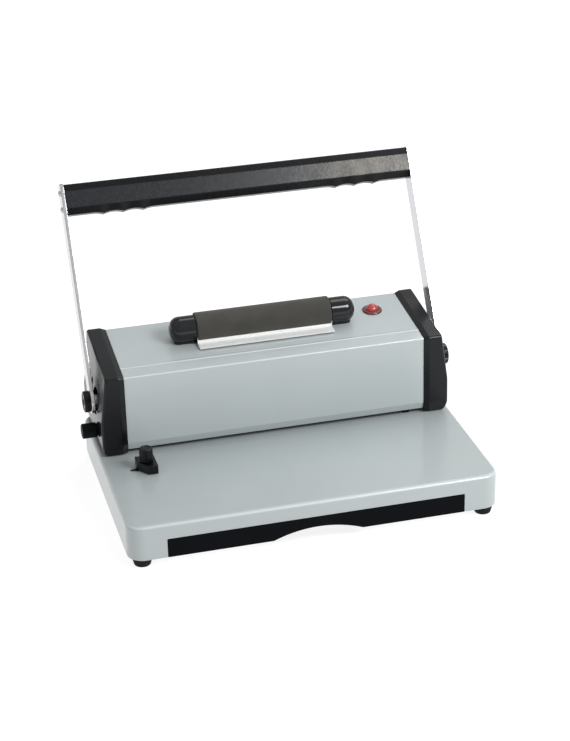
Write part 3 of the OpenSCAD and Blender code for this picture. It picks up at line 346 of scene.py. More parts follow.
def paint(name, c0, c1, bend_highlight):
    """A baked silver paint with a painted highlight: its colour turns lighter where the sheet bends from a
    side to the top.
    """
    m, t, s, co = material(name)
    broad = noise(t, co, 9, 2)
    fine = noise(t, co, 1500, 2)
    tint(t, s, broad.outputs["Fac"], c0, c1)
    # painted highlight: the base colour is mixed towards bend_highlight where the surface faces between
    # side and top
    way = t.nodes.new("ShaderNodeSeparateXYZ")
    t.links.new(t.nodes.new("ShaderNodeNewGeometry").outputs["Normal"], way.inputs["Vector"])
    off_side = ramp(t, way.outputs["Z"], 0, 1, 0.28, 0.55)
    off_top = ramp(t, way.outputs["Z"], 1, 0, 0.78, 0.94)
    blend(t, s, times(t, off_side, off_top), bend_highlight)
    t.links.new(ramp(t, broad.outputs["Fac"], 0.34, 0.42), s.inputs["Roughness"])
    bump(t, s, fine.outputs["Fac"], 0.10, FINE)
    s.inputs["Coat Weight"].default_value = 0.6
    s.inputs["Coat Roughness"].default_value = 0.14
    return m


def plastic(name, c0, c1, rough, grain, scale, coat=0.0, shine=0.5):
    m, t, s, co = material(name)
    s.inputs["Specular IOR Level"].default_value = shine
    broad = noise(t, co, 22, 3)
    fine = noise(t, co, scale, 2)
    tint(t, s, broad.outputs["Fac"], c0, c1)
    t.links.new(ramp(t, broad.outputs["Fac"], *rough), s.inputs["Roughness"])
    bump(t, s, fine.outputs["Fac"], grain, FINE)
    s.inputs["Coat Weight"].default_value = coat
    s.inputs["Coat Roughness"].default_value = 0.15
    return m


def metal(name, c0, c1, rough, stretch, scale, grain=0.05, metallic=1.0):
    """Bare metal, its grain or brush lines drawn out by stretch."""
    m, t, s, co = material(name)
    lines = noise(t, co, scale, 4, stretch)
    tint(t, s, lines.outputs["Fac"], c0, c1)
    s.inputs["Metallic"].default_value = metallic
    t.links.new(ramp(t, lines.outputs["Fac"], *rough), s.inputs["Roughness"])
    bump(t, s, lines.outputs["Fac"], grain, FINE / 2)
    return m


def foam(name):
    """Dark foam rubber with fine cells."""
    m, t, s, co = material(name)
    cells = t.nodes.new("ShaderNodeTexVoronoi")
    cells.inputs["Scale"].default_value = 1500
    t.links.new(co.outputs["Object"], cells.inputs["Vector"])
    broad = noise(t, co, 45, 5)
    tint(t, s, broad.outputs["Fac"], (0.026, 0.025, 0.021), (0.041, 0.039, 0.033), 0.25, 0.75)
    bump(t, s, cells.outputs["Distance"], 0.45, 0.0003)
    s.inputs["Roughness"].default_value = 0.95
    s.inputs["Sheen Weight"].default_value = 0.12
    s.inputs["Sheen Roughness"].default_value = 0.6
    return m


def lens_red(name):
    """A clear red lens with a faint glow."""
    m, t, s, co = material(name)
    broad = noise(t, co, 120, 2)
    tint(t, s, broad.outputs["Fac"], (0.34, 0.030, 0.032), (0.46, 0.055, 0.055))
    t.links.new(ramp(t, broad.outputs["Fac"], 0.10, 0.18), s.inputs["Roughness"])
    s.inputs["Transmission Weight"].default_value = 0.35
    s.inputs["IOR"].default_value = 1.49
    s.inputs["Emission Color"].default_value = (1.0, 0.08, 0.08, 1)
    s.inputs["Emission Strength"].default_value = 0.10
    s.inputs["Coat Weight"].default_value = 0.6
    return m


def grip_plastic(name):
    """Black plastic with black bevels. The broad face is painted a lighter grey, a painted sheen, with a
    warm patch of painted reflection on the right, mottled by the streaks.
    """
    m, t, s, co = material(name)
    axes = t.nodes.new("ShaderNodeSeparateXYZ")
    t.links.new(co.outputs["Object"], axes.inputs["Vector"])
    along = t.nodes.new("ShaderNodeVectorMath")
    along.operation = "DOT_PRODUCT"
    t.links.new(co.outputs["Object"], along.inputs[0])
    along.inputs[1].default_value = (0, math.sin(LEAN), math.cos(LEAN))
    # the face lies between two places along the arms, here in metres from the pivot
    pivot = (AXIS[0] * math.sin(LEAN) + AXIS[1] * math.cos(LEAN)) * MM
    u = along.outputs["Value"]
    over_low = ramp(t, u, 0, 1, pivot + 0.2158, pivot + 0.2166)
    under_high = ramp(t, u, 1, 0, pivot + 0.2348, pivot + 0.2358)
    face = times(t, over_low, under_high)
    streaks = noise(t, co, 38, 4, (1, 0.45, 0.45), 0.6)
    fine = noise(t, co, 420, 3, (1, 1, 0.3))
    tint(t, s, streaks.outputs["Fac"], (0.0022, 0.0026, 0.0038), (0.0032, 0.0037, 0.0050))
    # painted sheen: the broad face gets a lighter grey than the bevels
    blend(t, s, face, (0.0155, 0.0172, 0.0200))
    # painted reflection: a warm lighter patch on the face's right part, broken up by the streaks
    right_sheen = times(t, face, ramp(t, axes.outputs["X"], 0, 1, 0.055, 0.15))
    sheen_patch = times(t, right_sheen, ramp(t, streaks.outputs["Fac"], 0.20, 1.0, 0.38, 0.58))
    blend(t, s, sheen_patch, (0.100, 0.091, 0.073))
    s.inputs["Specular IOR Level"].default_value = 0.21
    t.links.new(ramp(t, fine.outputs["Fac"], 0.18, 0.34, 0.3, 0.7), s.inputs["Roughness"])
    bump(t, s, fine.outputs["Fac"], 0.05, FINE)
    return m


# one paint: the table's copy is a shade darker, a painted shade for the weaker light on the table
PAINT = paint("paint_silver_green", (0.376, 0.415, 0.420), (0.397, 0.437, 0.442), (0.50, 0.54, 0.55))
SHADED_TABLE_PAINT = paint("paint_silver_green_table_shaded",
                    (0.328, 0.364, 0.368), (0.350, 0.387, 0.391), (0.46, 0.50, 0.51))
BLACK_GLOSS = plastic("black_cap_plastic", (0.0030, 0.0038, 0.0046), (0.0048, 0.0058, 0.0068),
                      (0.20, 0.30), 0.10, 1100, 0.0, 0.26)
BLACK_SHINE = plastic("black_shiny_plastic", (0.0026, 0.0032, 0.0042), (0.0040, 0.0048, 0.0060),
                      (0.07, 0.13), 0.02, 700, 0.0, 0.45)
BLACK_SATIN = plastic("black_satin_plastic", (0.0030, 0.0036, 0.0050), (0.0046, 0.0054, 0.0072),
                      (0.34, 0.46), 0.14, 1300, 0.0, 0.10)
GRIP_BLACK = grip_plastic("grip_plastic")
# a darker, duller copy of the satin black for the drawer's front: painted shade
SHADED_DRAWER_BLACK = plastic("drawer_plastic_shaded", (0.0014, 0.0018, 0.0028), (0.0022, 0.0027, 0.0040),
                       (0.34, 0.46), 0.14, 1300, 0.0, 0.05)
NICKEL = metal("satin_nickel", (0.52, 0.53, 0.55), (0.60, 0.61, 0.63), (0.16, 0.26), (8, 1, 1), 260)
STEEL = metal("ground_steel", (0.42, 0.43, 0.45), (0.52, 0.53, 0.55), (0.26, 0.38), (1, 6, 6), 240)
ZINC = metal("zinc_plate", (0.55, 0.56, 0.57), (0.64, 0.65, 0.66), (0.30, 0.45), (1, 1, 1), 160, 0.08)
ALUMINIUM = metal("brushed_aluminium", (0.76, 0.77, 0.76), (0.84, 0.85, 0.84),
                  (0.40, 0.52), (0.5, 30, 30), 120, 0.05, 0.35)
BRONZE = metal("sintered_bronze", (0.50, 0.36, 0.18), (0.60, 0.44, 0.24), (0.35, 0.50), (1, 1, 1), 500, 0.1)
FOAM = foam("foam_sleeve_rubber")
RUBBER = plastic("black_rubber", (0.0075, 0.0078, 0.0085), (0.0120, 0.0124, 0.0130),
                 (0.62, 0.78), 0.22, 1400, 0.0, 0.1)
RED = lens_red("red_lens")
RED_DARK = plastic("dark_red_bezel", (0.085, 0.020, 0.022), (0.110, 0.026, 0.028),
                   (0.16, 0.24), 0.03, 700, 0.3)
BOARD = plastic("green_board", (0.012, 0.10, 0.045), (0.018, 0.13, 0.06), (0.30, 0.42), 0.1, 800)

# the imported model's nodes that no piece replaces keep their shape and get these
SLOT_MATERIAL = {
    "paint": PAINT, "black_gloss": BLACK_GLOSS, "black_matte": BLACK_SATIN, "bright_steel": NICKEL,
    "steel": STEEL, "zinc": ZINC, "aluminium": ALUMINIUM, "bronze": BRONZE, "foam": FOAM, "rubber": RUBBER,
    "red": RED, "board": BOARD,
}
for sub in frame["record"]["subparts"]:
    node = frame["nodes"][sub["node"]]
    node.data.materials.clear()
    node.data.materials.append(SLOT_MATERIAL[sub["material_slot"]])


def dress(ob, mat, body, nodes, angle=32, soft=True):
    """Gives a piece its material and shading, and sets it on its body in place of the nodes."""
    ob.data.materials.clear()
    ob.data.materials.append(mat)
    for f in ob.data.polygons:
        f.use_smooth = True
    ob.data.set_sharp_from_angle(angle=math.radians(angle))
    if soft:
        m = ob.modifiers.new("weighted", "WEIGHTED_NORMAL")
        m.keep_sharp = True
        m.weight = 60
    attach(ob, body)
    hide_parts(*nodes)


# ---------------------------------------------------------------- table
def table():
    """A shell open below, with openings for the drawer, the chips and the edge guide's stud."""
    steps = 8
    turns = [math.pi / 2 * i / steps for i in range(steps + 1)]
    wall, r, e = BASE_WALL, BASE_EDGE, BASE_EDGE - BASE_WALL
    inner = [(wall, RIM_Z)]
    inner += [(wall + e * (1 - math.cos(a)), TABLE_Z - wall - e + e * math.sin(a)) for a in turns]
    outer = [(0.6, RIM_Z), (0.17, RIM_Z + 0.17), (0.0, RIM_Z + 0.6)]
    outer += [(r * (1 - math.cos(a)), TABLE_Z - r + r * math.sin(a)) for a in turns]
    rings = []
    for g, z in list(reversed(inner)) + outer:
        w, d = BASE_W - 2 * g, BASE_D - 2 * g
        rings.append([(x, y, z) for x, y in rounded(block(-w / 2, -d / 2, w / 2, d / 2), BASE_R - g, 10)])
    ob = outward(loft("table_shell", rings))
    drawer_mouth = rounded(block(-163.3, 0, 163.3, 32.1), [0, 0, 1.2, 1.2], 3)
    carve(ob, drawer_mouth, FRONT_Y - 10, FRONT_Y + 4.5, on_y)
    chip_slot = rounded(block(-151, 60, 151, 72), 2, 4)
    guide_slot = rounded(block(-163.3, -17.3, -148.7, -12.7), 2.25, 6)
    for slot in (chip_slot, guide_slot):
        carve(ob, slot, TABLE_Z - 6, TABLE_Z + 6, on_z)
    # the table takes the darker copy of the paint, a painted shade
    dress(ob, SHADED_TABLE_PAINT, "machine", ["base_cover"], 28)


# ---------------------------------------------------------------- cover
def cover():
    """One bent sheet, with a small step along the seam of its top face."""
    c, k = math.cos(TOP_SLOPE), math.sin(TOP_SLOPE)
    rise, ahead = 0.55, 1.3
    front_slope = (STRIP[1] - FOLD[1]) / (STRIP[0] - FOLD[0])
    seam = [(STRIP[0] - ahead, STRIP[1] - ahead * front_slope), (STRIP[0] - 0.4, STRIP[1] + rise * 0.9),
            (STRIP[0] + 0.9 * c - rise * k, STRIP[1] + 0.9 * k + rise * c),
            (STRIP[0] + 3.0 * c, STRIP[1] + 3.0 * k)]
    outer = rounded_path([LIP, LOW, FOLD] + seam + [BACK, HEEL], [3.0, 1.8, 0.6, 0.45, 0.8, 2.4, 3.0], 6)
    plain = rounded_path([LIP, LOW, FOLD, STRIP, BACK, HEEL], [3.0, 3.0, 3.0, 3.0, 3.0], 6)
    ring = ccw(outer + list(reversed(shifted(plain, COVER_T))))
    ob = outward(loft("cover_sheet", [[(x, y, z) for y, z in ring] for x in (-COVER_X, COVER_X)]))
    half = 9.7
    for x0, x1, off in ((-78.5, 78.5, 0.0), (-85.5, 97.0, 2.6)):
        carve(ob, rounded(block(x0, ROLLER_S + off - half, x1, ROLLER_S + off + half), 1.5, 3), -8, 8, top)
    carve(ob, circle(8.65, 48, BUTTON_X, BUTTON_S), -8, 8, top)
    socket = rounded(block(INLET_X - 13.8, INLET_Z - 10.3, INLET_X + 13.8, INLET_Z + 10.3), 1, 3)
    carve(ob, socket, -10, 10, lambda u, v, h: (u, HEEL[0] + h, HEEL[1] + v))
    dress(ob, PAINT, "machine", ["body_cover"], 25)


# ---------------------------------------------------------------- end caps
def cap_side(z):
    """Outer half width of a cap at height z."""
    pts = [(CAP_LOW, CAP_FOOT_X - 3.5), (CAP_LOW + 1.2, CAP_FOOT_X - 2.2), (CAP_LOW + 4, CAP_FOOT_X - 1.0),
           (CAP_LOW + 9, CAP_FOOT_X), (89.5, CAP_FOOT_X), (FOLD[1], CAP_X)]
    for (z0, x0), (z1, x1) in zip(pts, pts[1:]):
        if z <= z1:
            return x0 + (x1 - x0) * (z - z0) / (z1 - z0)
    return CAP_X


def cap_outline(g):
    """A cap's outline in (y, z) grown by g: up its front, over its top and down its back."""
    zs = [CAP_LOW + (CAP_SHOULDER - CAP_LOW) * i / CAP_STEPS for i in range(CAP_STEPS + 1)]
    front = []
    for z in zs:
        lean = (z - CAP_KNEE) / 81.5 if z > CAP_KNEE else 2.5 * (CAP_KNEE - z) / 11.5
        front.append((LOW[0] - g + lean, z))
    p = [front[-1], (FOLD[0] - g, FOLD[1] + 0.8 * g), (BACK[0] + g, BACK[1] + 1.2 * g),
         (HEEL[0] + g, CAP_SHOULDER)]
    crown = arc(p[0], p[1], p[2], 4.5, 8) + arc(p[1], p[2], p[3], 5.5, 10)
    return front + crown + [(HEEL[0] + g, z) for z in reversed(zs)]


def end_cap(sign):
    """A moulded cap with rounded edges and a flared foot, and a round recess for the pivot bolt."""
    side = "right" if sign > 0 else "left"
    r, grown, steps, far = 2.6, 2.5, 6, 215
    recess_r, recess_x = 15.5, 191.5
    rings = []
    for g, x in ((0.8, COVER_X), (2.2, COVER_X + 5.2), (2.4, COVER_X + 5.8), (grown, COVER_X + 6.6)):
        rings.append([(x, y, z) for y, z in cap_outline(g)])
    pts = cap_outline(grown)
    for i in range(steps + 1):
        a = math.pi / 2 * i / steps
        d, drop = r * (1 - math.cos(a)), r * (1 - math.sin(a))
        rings.append([(cap_side(z0) - drop, y, z) for (y, z), (_, z0) in zip(shifted(pts, d), pts)])
    n = len(pts)
    verts = [v for q in rings for v in q]
    faces = []
    for k in range(len(rings) - 1):
        for i in range(n - 1):
            faces.append((k * n + i, k * n + i + 1, (k + 1) * n + i + 1, (k + 1) * n + i))
    base = (len(rings) - 1) * n
    for i in range(CAP_STEPS):
        faces.append((base + i, base + i + 1, base + n - 2 - i, base + n - 1 - i))
    faces.append(tuple(base + i for i in range(CAP_STEPS, n - CAP_STEPS)))
    ob = make(side + "_cap", verts, faces)
    wall = ob.modifiers.new("wall", "SOLIDIFY")
    wall.thickness = 2.2 * MM
    wall.offset = -1
    wall.use_even_offset = True
    outward(ob)
    # the wall grows against the normals, so the broad side has to face away from the cap's middle
    mid = sum((v.co for v in ob.data.vertices), Vector()) / len(ob.data.vertices)
    big = max(ob.data.polygons, key=lambda f: f.area)
    if (big.center - mid).dot(big.normal) < 0:
        ob.data.flip_normals()
    evaluated(ob)
    carve(ob, circle(recess_r + 2.5, 64, *AXIS), recess_x - 2.5, recess_x + 4, on_x, "UNION")
    carve(ob, circle(recess_r, 64, *AXIS), recess_x, far, on_x)
    carve(ob, circle(8, 48, *AXIS), 170, far, on_x)
    for y, z in ((90.0, 115.0), (116.0, 69.5)):
        carve(ob, circle(4.0, 32, y, z), 188, far, on_x)
    if sign < 0:
        carve(ob, circle(3.3, 32, *MARGIN_AT), 180, far, on_x)
        for v in ob.data.vertices:
            v.co.x = -v.co.x
        ob.data.flip_normals()
    dress(ob, BLACK_GLOSS, "machine", [side + "_end_cap"], 30)


# ---------------------------------------------------------------- handle
def arms():
    """Two flat bars with a round eye at the pivot and clipped corners at the grip."""
    w, eye_r, end, clip = 11.5, 14.0, 245.0, 4.0
    a0 = math.degrees(math.acos(w / eye_r))
    eye = [(eye_r * math.cos(math.radians(t)), eye_r * math.sin(math.radians(t)))
           for t in [180 - a0 + (180 + 2 * a0) * i / 36 for i in range(37)]]
    tip = rounded_path([(w, 12.0), (w, end - clip), (w - clip, end), (-w + clip, end), (-w, end - clip),
                        (-w, 12.0)], [2.0] * 4, 4)
    outline = ccw(eye + tip)
    for sign, name in ((1, "right_arm"), (-1, "left_arm")):
        ob = prism(name + "_bar", outline, ARM_X, BOLT_X, lambda u, v, h: arm(sign * h, u, v), 0.55, 3)
        dress(outward(ob), NICKEL, "handle", [name], 30)


def ridge(x):
    """How far the grip's underside stands down at x, between the finger hollows."""
    a = abs(x)
    far, pitch, deep = 158.5, 23.0, 2.0
    if a < far - 2.5 * pitch or a > far + 0.5 * pitch:
        return 0.0
    k = (a - (far - 2.5 * pitch)) / pitch
    d = abs(k - round(k)) * pitch
    return deep * (d / (pitch / 2)) ** 2


def grip():
    """A bevelled bar between the arms, with finger ridges under both of its ends."""
    half, low, high, edge, reach = 11, GRIP_LOW, GRIP_TOP, 0.4, 6.5
    sec = [(-half, low + 7), (-half, high - 8.5), (-half + 3.5, high), (half - 3, high), (half, high - 4),
           (half, low + 6), (half - 5, low), (-half + 7, low)]
    out = ccw(rounded(sec, [2.0, 2.2, 2.2, 2.0, 2.0, 2.0, 2.0, 1.6], 5))
    xs = [-ARM_X, -ARM_X + 0.12, -ARM_X + edge]
    x = -ARM_X + 4
    while x < ARM_X - 3:
        xs.append(x)
        x += 1.0 if 95 < abs(x) < 176 else 6.0
    xs += [ARM_X - edge, ARM_X - 0.12, ARM_X]
    rings = []
    for x in xs:
        d = min(ARM_X - abs(x), edge)
        shrink = edge - math.sqrt(max(edge ** 2 - (edge - d) ** 2, 0))
        ring = []
        for w, u in inset(out, shrink) if shrink > 1e-6 else out:
            t = max(0.0, min(1.0, (low + reach - u) / reach))
            lean = 0.35 * ridge(x) * (t > 0) * (1 if w < 0 else 0)
            ring.append(arm(x, w - lean * t, u - ridge(x) * t))
        rings.append(ring)
    ob = outward(loft("grip_body", rings))
    dress(ob, GRIP_BLACK, "handle", ["grip_bar"], 24)


def knob_mesh(name, r, h, teeth, place, deep, socket=None):
    """A knurled knob: chamfered rims, a raised rim on its face and, if asked for, a hex socket."""
    n = teeth * 4

    def row(rad, hh, knurl=False):
        out = []
        for i in range(n):
            a = TAU * i / n
            q = rad - (deep if knurl and i % 4 in (2, 3) else 0)
            out.append(place(q * math.cos(a), q * math.sin(a), hh))
        return out
    rows = [row(r - 1.2, 0), row(r - 0.9, 0.3), row(r, 1.0, True), row(r, h - 1.0, True),
            row(r - 0.8, h - 0.25), row(r - 1.3, h), row(r - 2.6, h), row(r - 3.0, h - 0.5),
            row(r * 0.45, h - 0.5)]
    ob = outward(loft(name, rows))
    if socket:
        carve(ob, circle(socket, 6), h - 4, h + 2, place)
    return ob


def handle_fittings():
    """The pivot bolts' knurled heads, and two screw heads on the outside of each arm."""
    parts = []
    for sign in (1, -1):
        def on_pivot(u, v, h):
            return (sign * (BOLT_X + h), AXIS[0] + u, AXIS[1] + v)
        parts.append(knob_mesh("bolt", 12.0, 7.5, 36, on_pivot, 0.5, 4.5))
    ob = outward(joined("pivot_bolt_heads", parts))
    dress(ob, BLACK_GLOSS, "handle", ["pivot_bolts"], 30, False)
    parts = []
    for sign in (1, -1):
        for u0 in (GRIP_LOW + 7, GRIP_TOP - 9):
            def on_arm(a, b, h):
                return arm(sign * (BOLT_X + h), -2 + a, u0 + b)
            prof = [(3.2, 0), (3.2, 0.9), (2.9, 1.5), (2.3, 1.9), (1.6, 2.0)]
            screw = outward(loft("screw", turned(prof, on_arm, 32)))
            parts.append(carve(screw, circle(1.4, 6), 0.8, 3, on_arm))
    ob = outward(joined("grip_screw_heads", parts))
    dress(ob, NICKEL, "handle", ["grip_screws"], 30, False)


# ---------------------------------------------------------------- coil roller
def roller():
    """The foam sleeve, its ends rounded off."""
    def on_roller(u, v, h):
        p = top(0, ROLLER_S, ROLLER_H)
        return (h, p[1] + u, p[2] + v)
    r, core, half, b, steps = SLEEVE_R, 9.05, SLEEVE_X, 1.0, 38
    prof = [(core, -half + 0.6), (core + 0.6, -half), (r - b, -half)]
    for i in range(1, 5):
        a = math.pi / 2 * i / 4
        prof.append((r - b + b * math.sin(a), -half + b * (1 - math.cos(a))))
    side = [(r, -half + b + (2 * half - 2 * b) * i / steps) for i in range(1, steps)]
    prof = prof + side + [(q, -h) for q, h in reversed(prof)]
    ob = outward(loft("foam_roll", turned(prof, on_roller, 96), loop=True))
    dress(ob, FOAM, "coil_roller", ["foam_sleeve"], 40)


def housing(sign):
    """A round-ended barrel at one end of the roller, on an upright foot: hollow, and open to the roller."""
    side = "right" if sign > 0 else "left"
    r0, e0, length, x0, wall = 14.8, 11.5, 28.5, SLEEVE_X + 1.0, 1.8
    mid, half, short, corner = ROLLER_S + 2.6, 11.7, 4.0, 6.0

    def form(g, start, foot_h):
        """The housing's solid shrunk by g, from start to its end, its foot reaching up from foot_h."""
        r, e, end = r0 - g, e0 - g, length - g
        prof = [(start, 0.001), (start, r - 0.35), (start + 0.35, r)]
        for i in range(15):
            a = math.pi / 2 * i / 14
            prof.append((end - e + e * math.sin(a), max(r - e + e * math.cos(a), r - e)))
        prof.append((end, 0.001))
        rings = []
        for x, q in prof:
            rings.append([top(sign * (x0 + x), ROLLER_S + q * math.cos(a), ROLLER_H + q * math.sin(a))
                          for a in [math.pi * i / 32 for i in range(64)]])
        ob = outward(loft("barrel", rings))
        f, m = half - g, length - short - g
        foot = rounded(block(x0 + start, mid - f, x0 + m, mid + f), [0, corner - g, corner - g, 0], 8)
        return carve(ob, ccw([(sign * u, v) for u, v in foot]), foot_h, ROLLER_H, top, "UNION")
    ob = form(0.0, 0.0, 0.0)
    below = ccw(block(sign * (x0 - 5), ROLLER_S - 30, sign * (x0 + 40), ROLLER_S + 30))
    carve(ob, below, -20, 0, top)
    cut(ob, form(wall, -1.0, -3.0))
    ob.name = side + "_housing_shell"
    dress(ob, BLACK_SHINE, "machine", [side + "_roller_housing"], 34)


def ledge():
    """A bent strip in front of the roller, which guides the coil. t is half its thickness."""
    half, t, up = SLEEVE_X + 0.5, 0.6, 2.4
    s0, s1 = 15.69, 29.69
    path = rounded_path([(s0, up), (s1 - t, up), (s1 - t, t), (s1 - 8.0, t)], [0.9, 0.9], 5)
    ring = ccw(shifted(path, -t) + list(reversed(shifted(path, t))))
    ob = prism("ledge_strip", ring, -half, half, lambda u, v, h: top(h, u, v), 0.2, 2)
    dress(ob, ALUMINIUM, "machine", ["coil_ledge"], 30)


def button():
    """A domed red button in a rounded dark bezel."""
    def on_button(u, v, h):
        return top(BUTTON_X + u, BUTTON_S + v, h)
    r, b, dome = 7.0, 2.2, 5.6
    prof = [(0.001, -5.0), (r, -5.0), (r, b)]
    for i in range(1, 15):
        a = math.pi / 2 * i / 14
        prof.append((r * math.cos(a), b + dome * math.sin(a)))
    ob = outward(loft("start_dome", turned(prof, on_button, 64)))
    dress(ob, RED, "start_button", ["power_button"], 40)
    prof = [(7.1, -9.0), (8.6, -9.0), (8.6, 0.0), (11.5, 0.0), (11.5, 0.6), (11.2, 1.3), (10.6, 1.8),
            (9.8, 2.15), (8.8, 2.2), (7.7, 2.05), (7.25, 1.7), (7.1, 1.2)]
    ob = outward(loft("button_bezel", turned(prof, on_button, 64), loop=True))
    dress(ob, RED_DARK, "machine", ["switch_bezel"], 35)


# ---------------------------------------------------------------- controls on the left and the table
def margin():
    def on_left(u, v, h):
        return (-(CAP_FOOT_X + 0.3 + h), MARGIN_AT[0] + u, MARGIN_AT[1] + v)
    ob = knob_mesh("margin_knob_grip", 8.5, 17.0, 30, on_left, 0.4)
    dress(ob, BLACK_SATIN, "margin_control", ["margin_knob"], 30, False)


def guide():
    """The edge guide's block with its pointer, its clamping knob, and the small stop on the right."""
    (x, y), half_w, half_d, height = GUIDE_AT, 10.5, 14.0, 10.0
    body = rounded([(x - half_w, y), (x - half_w + 10, y - half_d), (x + half_w, y - half_d),
                    (x + half_w, y + half_d), (x - half_w, y + half_d)], 1.0, 4)
    ob = prism("guide_block", body, GUIDE_Z, GUIDE_Z + height, on_z, 0.7, 3)
    left = x - half_w
    pointer = rounded([(left - 8, y + 1), (left + 1, y - 2.5), (left + 1, y + 4.5)], 0.25, 2)
    tongue = prism("tongue", pointer, GUIDE_Z, GUIDE_Z + 1.2, on_z, 0.2, 2)
    ob = outward(joined("guide_block", [ob, tongue]))
    dress(ob, BLACK_GLOSS, "edge_guide_slide", ["edge_guide"], 30)

    def on_guide(u, v, h):
        return (x + u, y + v, GUIDE_Z + height + 0.3 + h)
    ob = knob_mesh("guide_knob_grip", 7.5, 16.0, 24, on_guide, 0.5)
    dress(ob, BLACK_GLOSS, "clamp_knob", ["guide_knob"], 30, False)
    stop = rounded(block(148.5, 31.5, 156.5, 47.5), 0.5, 3)
    ob = prism("right_stop_block", stop, TABLE_Z, TABLE_Z + 5.0, on_z, 0.5)
    dress(ob, BLACK_SATIN, "machine", ["right_edge_stop"], 30)


# ---------------------------------------------------------------- drawer, feet and inlet
def drawer():
    """The drawer's front, with the finger arch in its lower edge."""
    width, rise, half, high = 98.0, 9.5, 163.0, 21.8
    r = (width * width / 4 + rise * rise) / (2 * rise)
    zc = RIM_Z + rise - r
    a = math.asin(width / 2 / r)
    bow = [(r * math.sin(-a + 2 * a * i / 48), zc + r * math.cos(-a + 2 * a * i / 48)) for i in range(49)]
    corners = [(half, RIM_Z), (half, RIM_Z + high), (-half, RIM_Z + high), (-half, RIM_Z)]
    ob = prism("drawer_panel", bow + corners, FRONT_Y, FRONT_Y + 3.0, on_y, 0.35, 2)
    dress(ob, SHADED_DRAWER_BLACK, "chip_drawer", ["drawer_front"], 30)


def feet():
    """Four tapered rubbers, each with a hole for its screw."""
    prof = [(2.1, 4.0), (4.2, 4.0), (4.4, 0.3), (4.7, 0.0), (7.8, 0.0), (8.6, 0.3), (9.0, 1.0), (10.6, 7.0),
            (11.1, 8.6), (11.25, 9.6), (11.0, 10.0), (2.1, 10.0)]
    parts = []
    for sx in (-1, 1):
        for sy in (-1, 1):
            def on_corner(u, v, h):
                return (sx * FOOT_AT[0] + u, sy * FOOT_AT[1] + v, h)
            parts.append(loft("foot", turned(prof, on_corner, 48), loop=True))
    ob = outward(joined("foot_rubbers", parts))
    dress(ob, RUBBER, "machine", ["rubber_feet"], 35)


def inlet():
    """The power inlet on the back: a plate with two screw holes, and a six-sided socket."""
    def on_back(u, v, h):
        return (INLET_X + u, HEEL[0] + h, HEEL[1] + INLET_Z + v)
    ob = prism("inlet_body", rounded(block(-24.5, -13, 24.5, 13), 4.0, 6), 0.0, 2.0, on_back, 0.5, 3)
    cut(ob, prism("tool", rounded(block(-13.5, -10, 13.5, 10), 1.0, 3), -20, 0.4, on_back, 0.2, 1), "UNION")
    mouth = rounded([(-12, -8.2), (12, -8.2), (12, 3.2), (8.5, 8.2), (-8.5, 8.2), (-12, 3.2)], 1.2, 4)
    carve(ob, mouth, -16, 4, on_back)
    for s in (-1, 1):
        carve(ob, circle(1.65, 24, s * 19.5, 0), -2, 4, on_back)
    dress(ob, BLACK_SATIN, "machine", ["power_inlet"], 30)


table()
cover()
end_cap(1)
end_cap(-1)
arms()
grip()
handle_fittings()
roller()
housing(1)
housing(-1)
ledge()
button()
margin()
guide()
drawer()
feet()
inlet()

# ---------------------------------------------------------------- stage
SPREAD = 9000
floor = make("floor", [(x, y, 0) for x, y in block(-SPREAD, -SPREAD, SPREAD, SPREAD)], [(0, 1, 2, 3)])
white, tree, shader, coord = material("floor_white")
tint(tree, shader, noise(tree, coord, 1.5, 2).outputs["Fac"], (0.30, 0.30, 0.30), (0.32, 0.32, 0.32))
shader.inputs["Roughness"].default_value = 0.9
shader.inputs["Specular IOR Level"].default_value = 0.1
shader.inputs["Emission Color"].default_value = (1, 1, 1, 1)
shader.inputs["Emission Strength"].default_value = 0.82
floor.data.materials.append(white)

# ---------------------------------------------------------------- light
# a white studio, brighter overhead and on the right
scene = bpy.context.scene
world = bpy.data.worlds.new("studio")
world.use_nodes = True
world_tree = world.node_tree
sky = world_tree.nodes["Background"]
sky.inputs["Color"].default_value = (1, 1, 1, 1)
way = world_tree.nodes.new("ShaderNodeTexCoord")
axes = world_tree.nodes.new("ShaderNodeSeparateXYZ")
world_tree.links.new(way.outputs["Generated"], axes.inputs["Vector"])


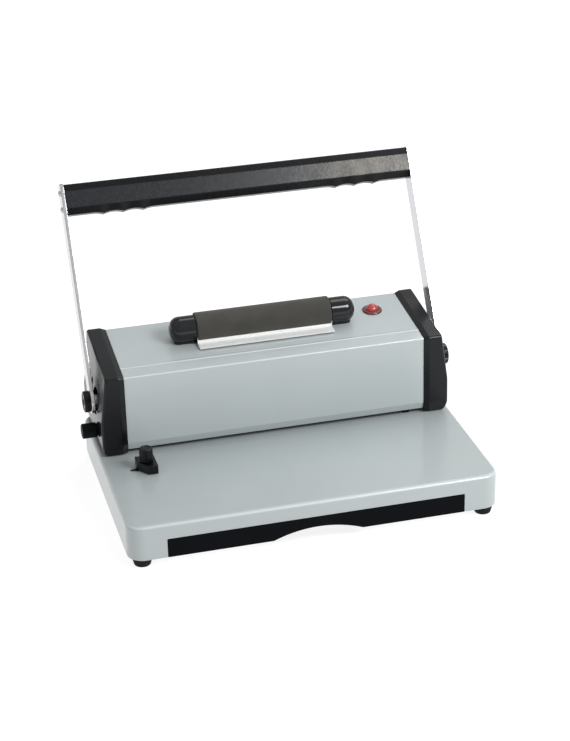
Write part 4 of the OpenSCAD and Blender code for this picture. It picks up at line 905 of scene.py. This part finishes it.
def weighed(src, k):
    """A node that gives src times k, plus what its third socket gets."""
    q = world_tree.nodes.new("ShaderNodeMath")
    q.operation = "MULTIPLY_ADD"
    world_tree.links.new(src, q.inputs[0])
    q.inputs[1].default_value = k
    return q


overhead = weighed(axes.outputs["Z"], 0.12)
overhead.inputs[2].default_value = 0.57
glow = weighed(axes.outputs["X"], 0.06)
world_tree.links.new(overhead.outputs[0], glow.inputs[2])
world_tree.links.new(glow.outputs[0], sky.inputs["Strength"])
scene.world = world
scene.view_settings.view_transform = "Standard"


def lamp(name, loc, target, size, size_y, power):
    """A rectangular lamp. Its places and sizes are in metres and its power in watts."""
    d = bpy.data.lights.new(name, "AREA")
    d.shape = "RECTANGLE"
    d.size = size
    d.size_y = size_y
    d.energy = power
    ob = bpy.data.objects.new(name, d)
    ob.location = loc
    ob.rotation_euler = (Vector(target) - Vector(loc)).to_track_quat("-Z", "Y").to_euler()
    scene.collection.objects.link(ob)


lamp("key", (0.82, -1.00, 1.20), (0, 0.19, 0.3), 0.75, 0.6, 22)
lamp("overhead", (0.9, 0.9, 2.0), (0, 0.05, 0.1), 1.4, 1.4, 14)

# ---------------------------------------------------------------- camera
# fitted to the photo's straight edges: image height and focal length in pixels, sensor in millimetres
IMAGE_H, FOCAL, SENSOR = 741, 1971.65, 36
yaw, pitch, roll = math.radians(14.229), math.radians(25.342), math.radians(-1.48)
ahead = Vector((math.sin(yaw) * math.cos(pitch), math.cos(yaw) * math.cos(pitch), -math.sin(pitch)))
level = Vector((math.cos(yaw), -math.sin(yaw), 0))
upright = level.cross(ahead)
right = level * math.cos(roll) + upright * math.sin(roll)
up = -level * math.sin(roll) + upright * math.cos(roll)
lens = bpy.data.cameras.new("camera")
lens.sensor_width = SENSOR
lens.lens = FOCAL * SENSOR / IMAGE_H
lens.clip_end = 50
camera = bpy.data.objects.new("camera", lens)
turn = Matrix((right, up, -ahead)).transposed().to_4x4()
camera.matrix_world = Matrix.Translation(Vector((-0.4769, -1.8922, 1.0631))) @ turn
scene.collection.objects.link(camera)
scene.camera = camera

bpy.context.view_layer.update()
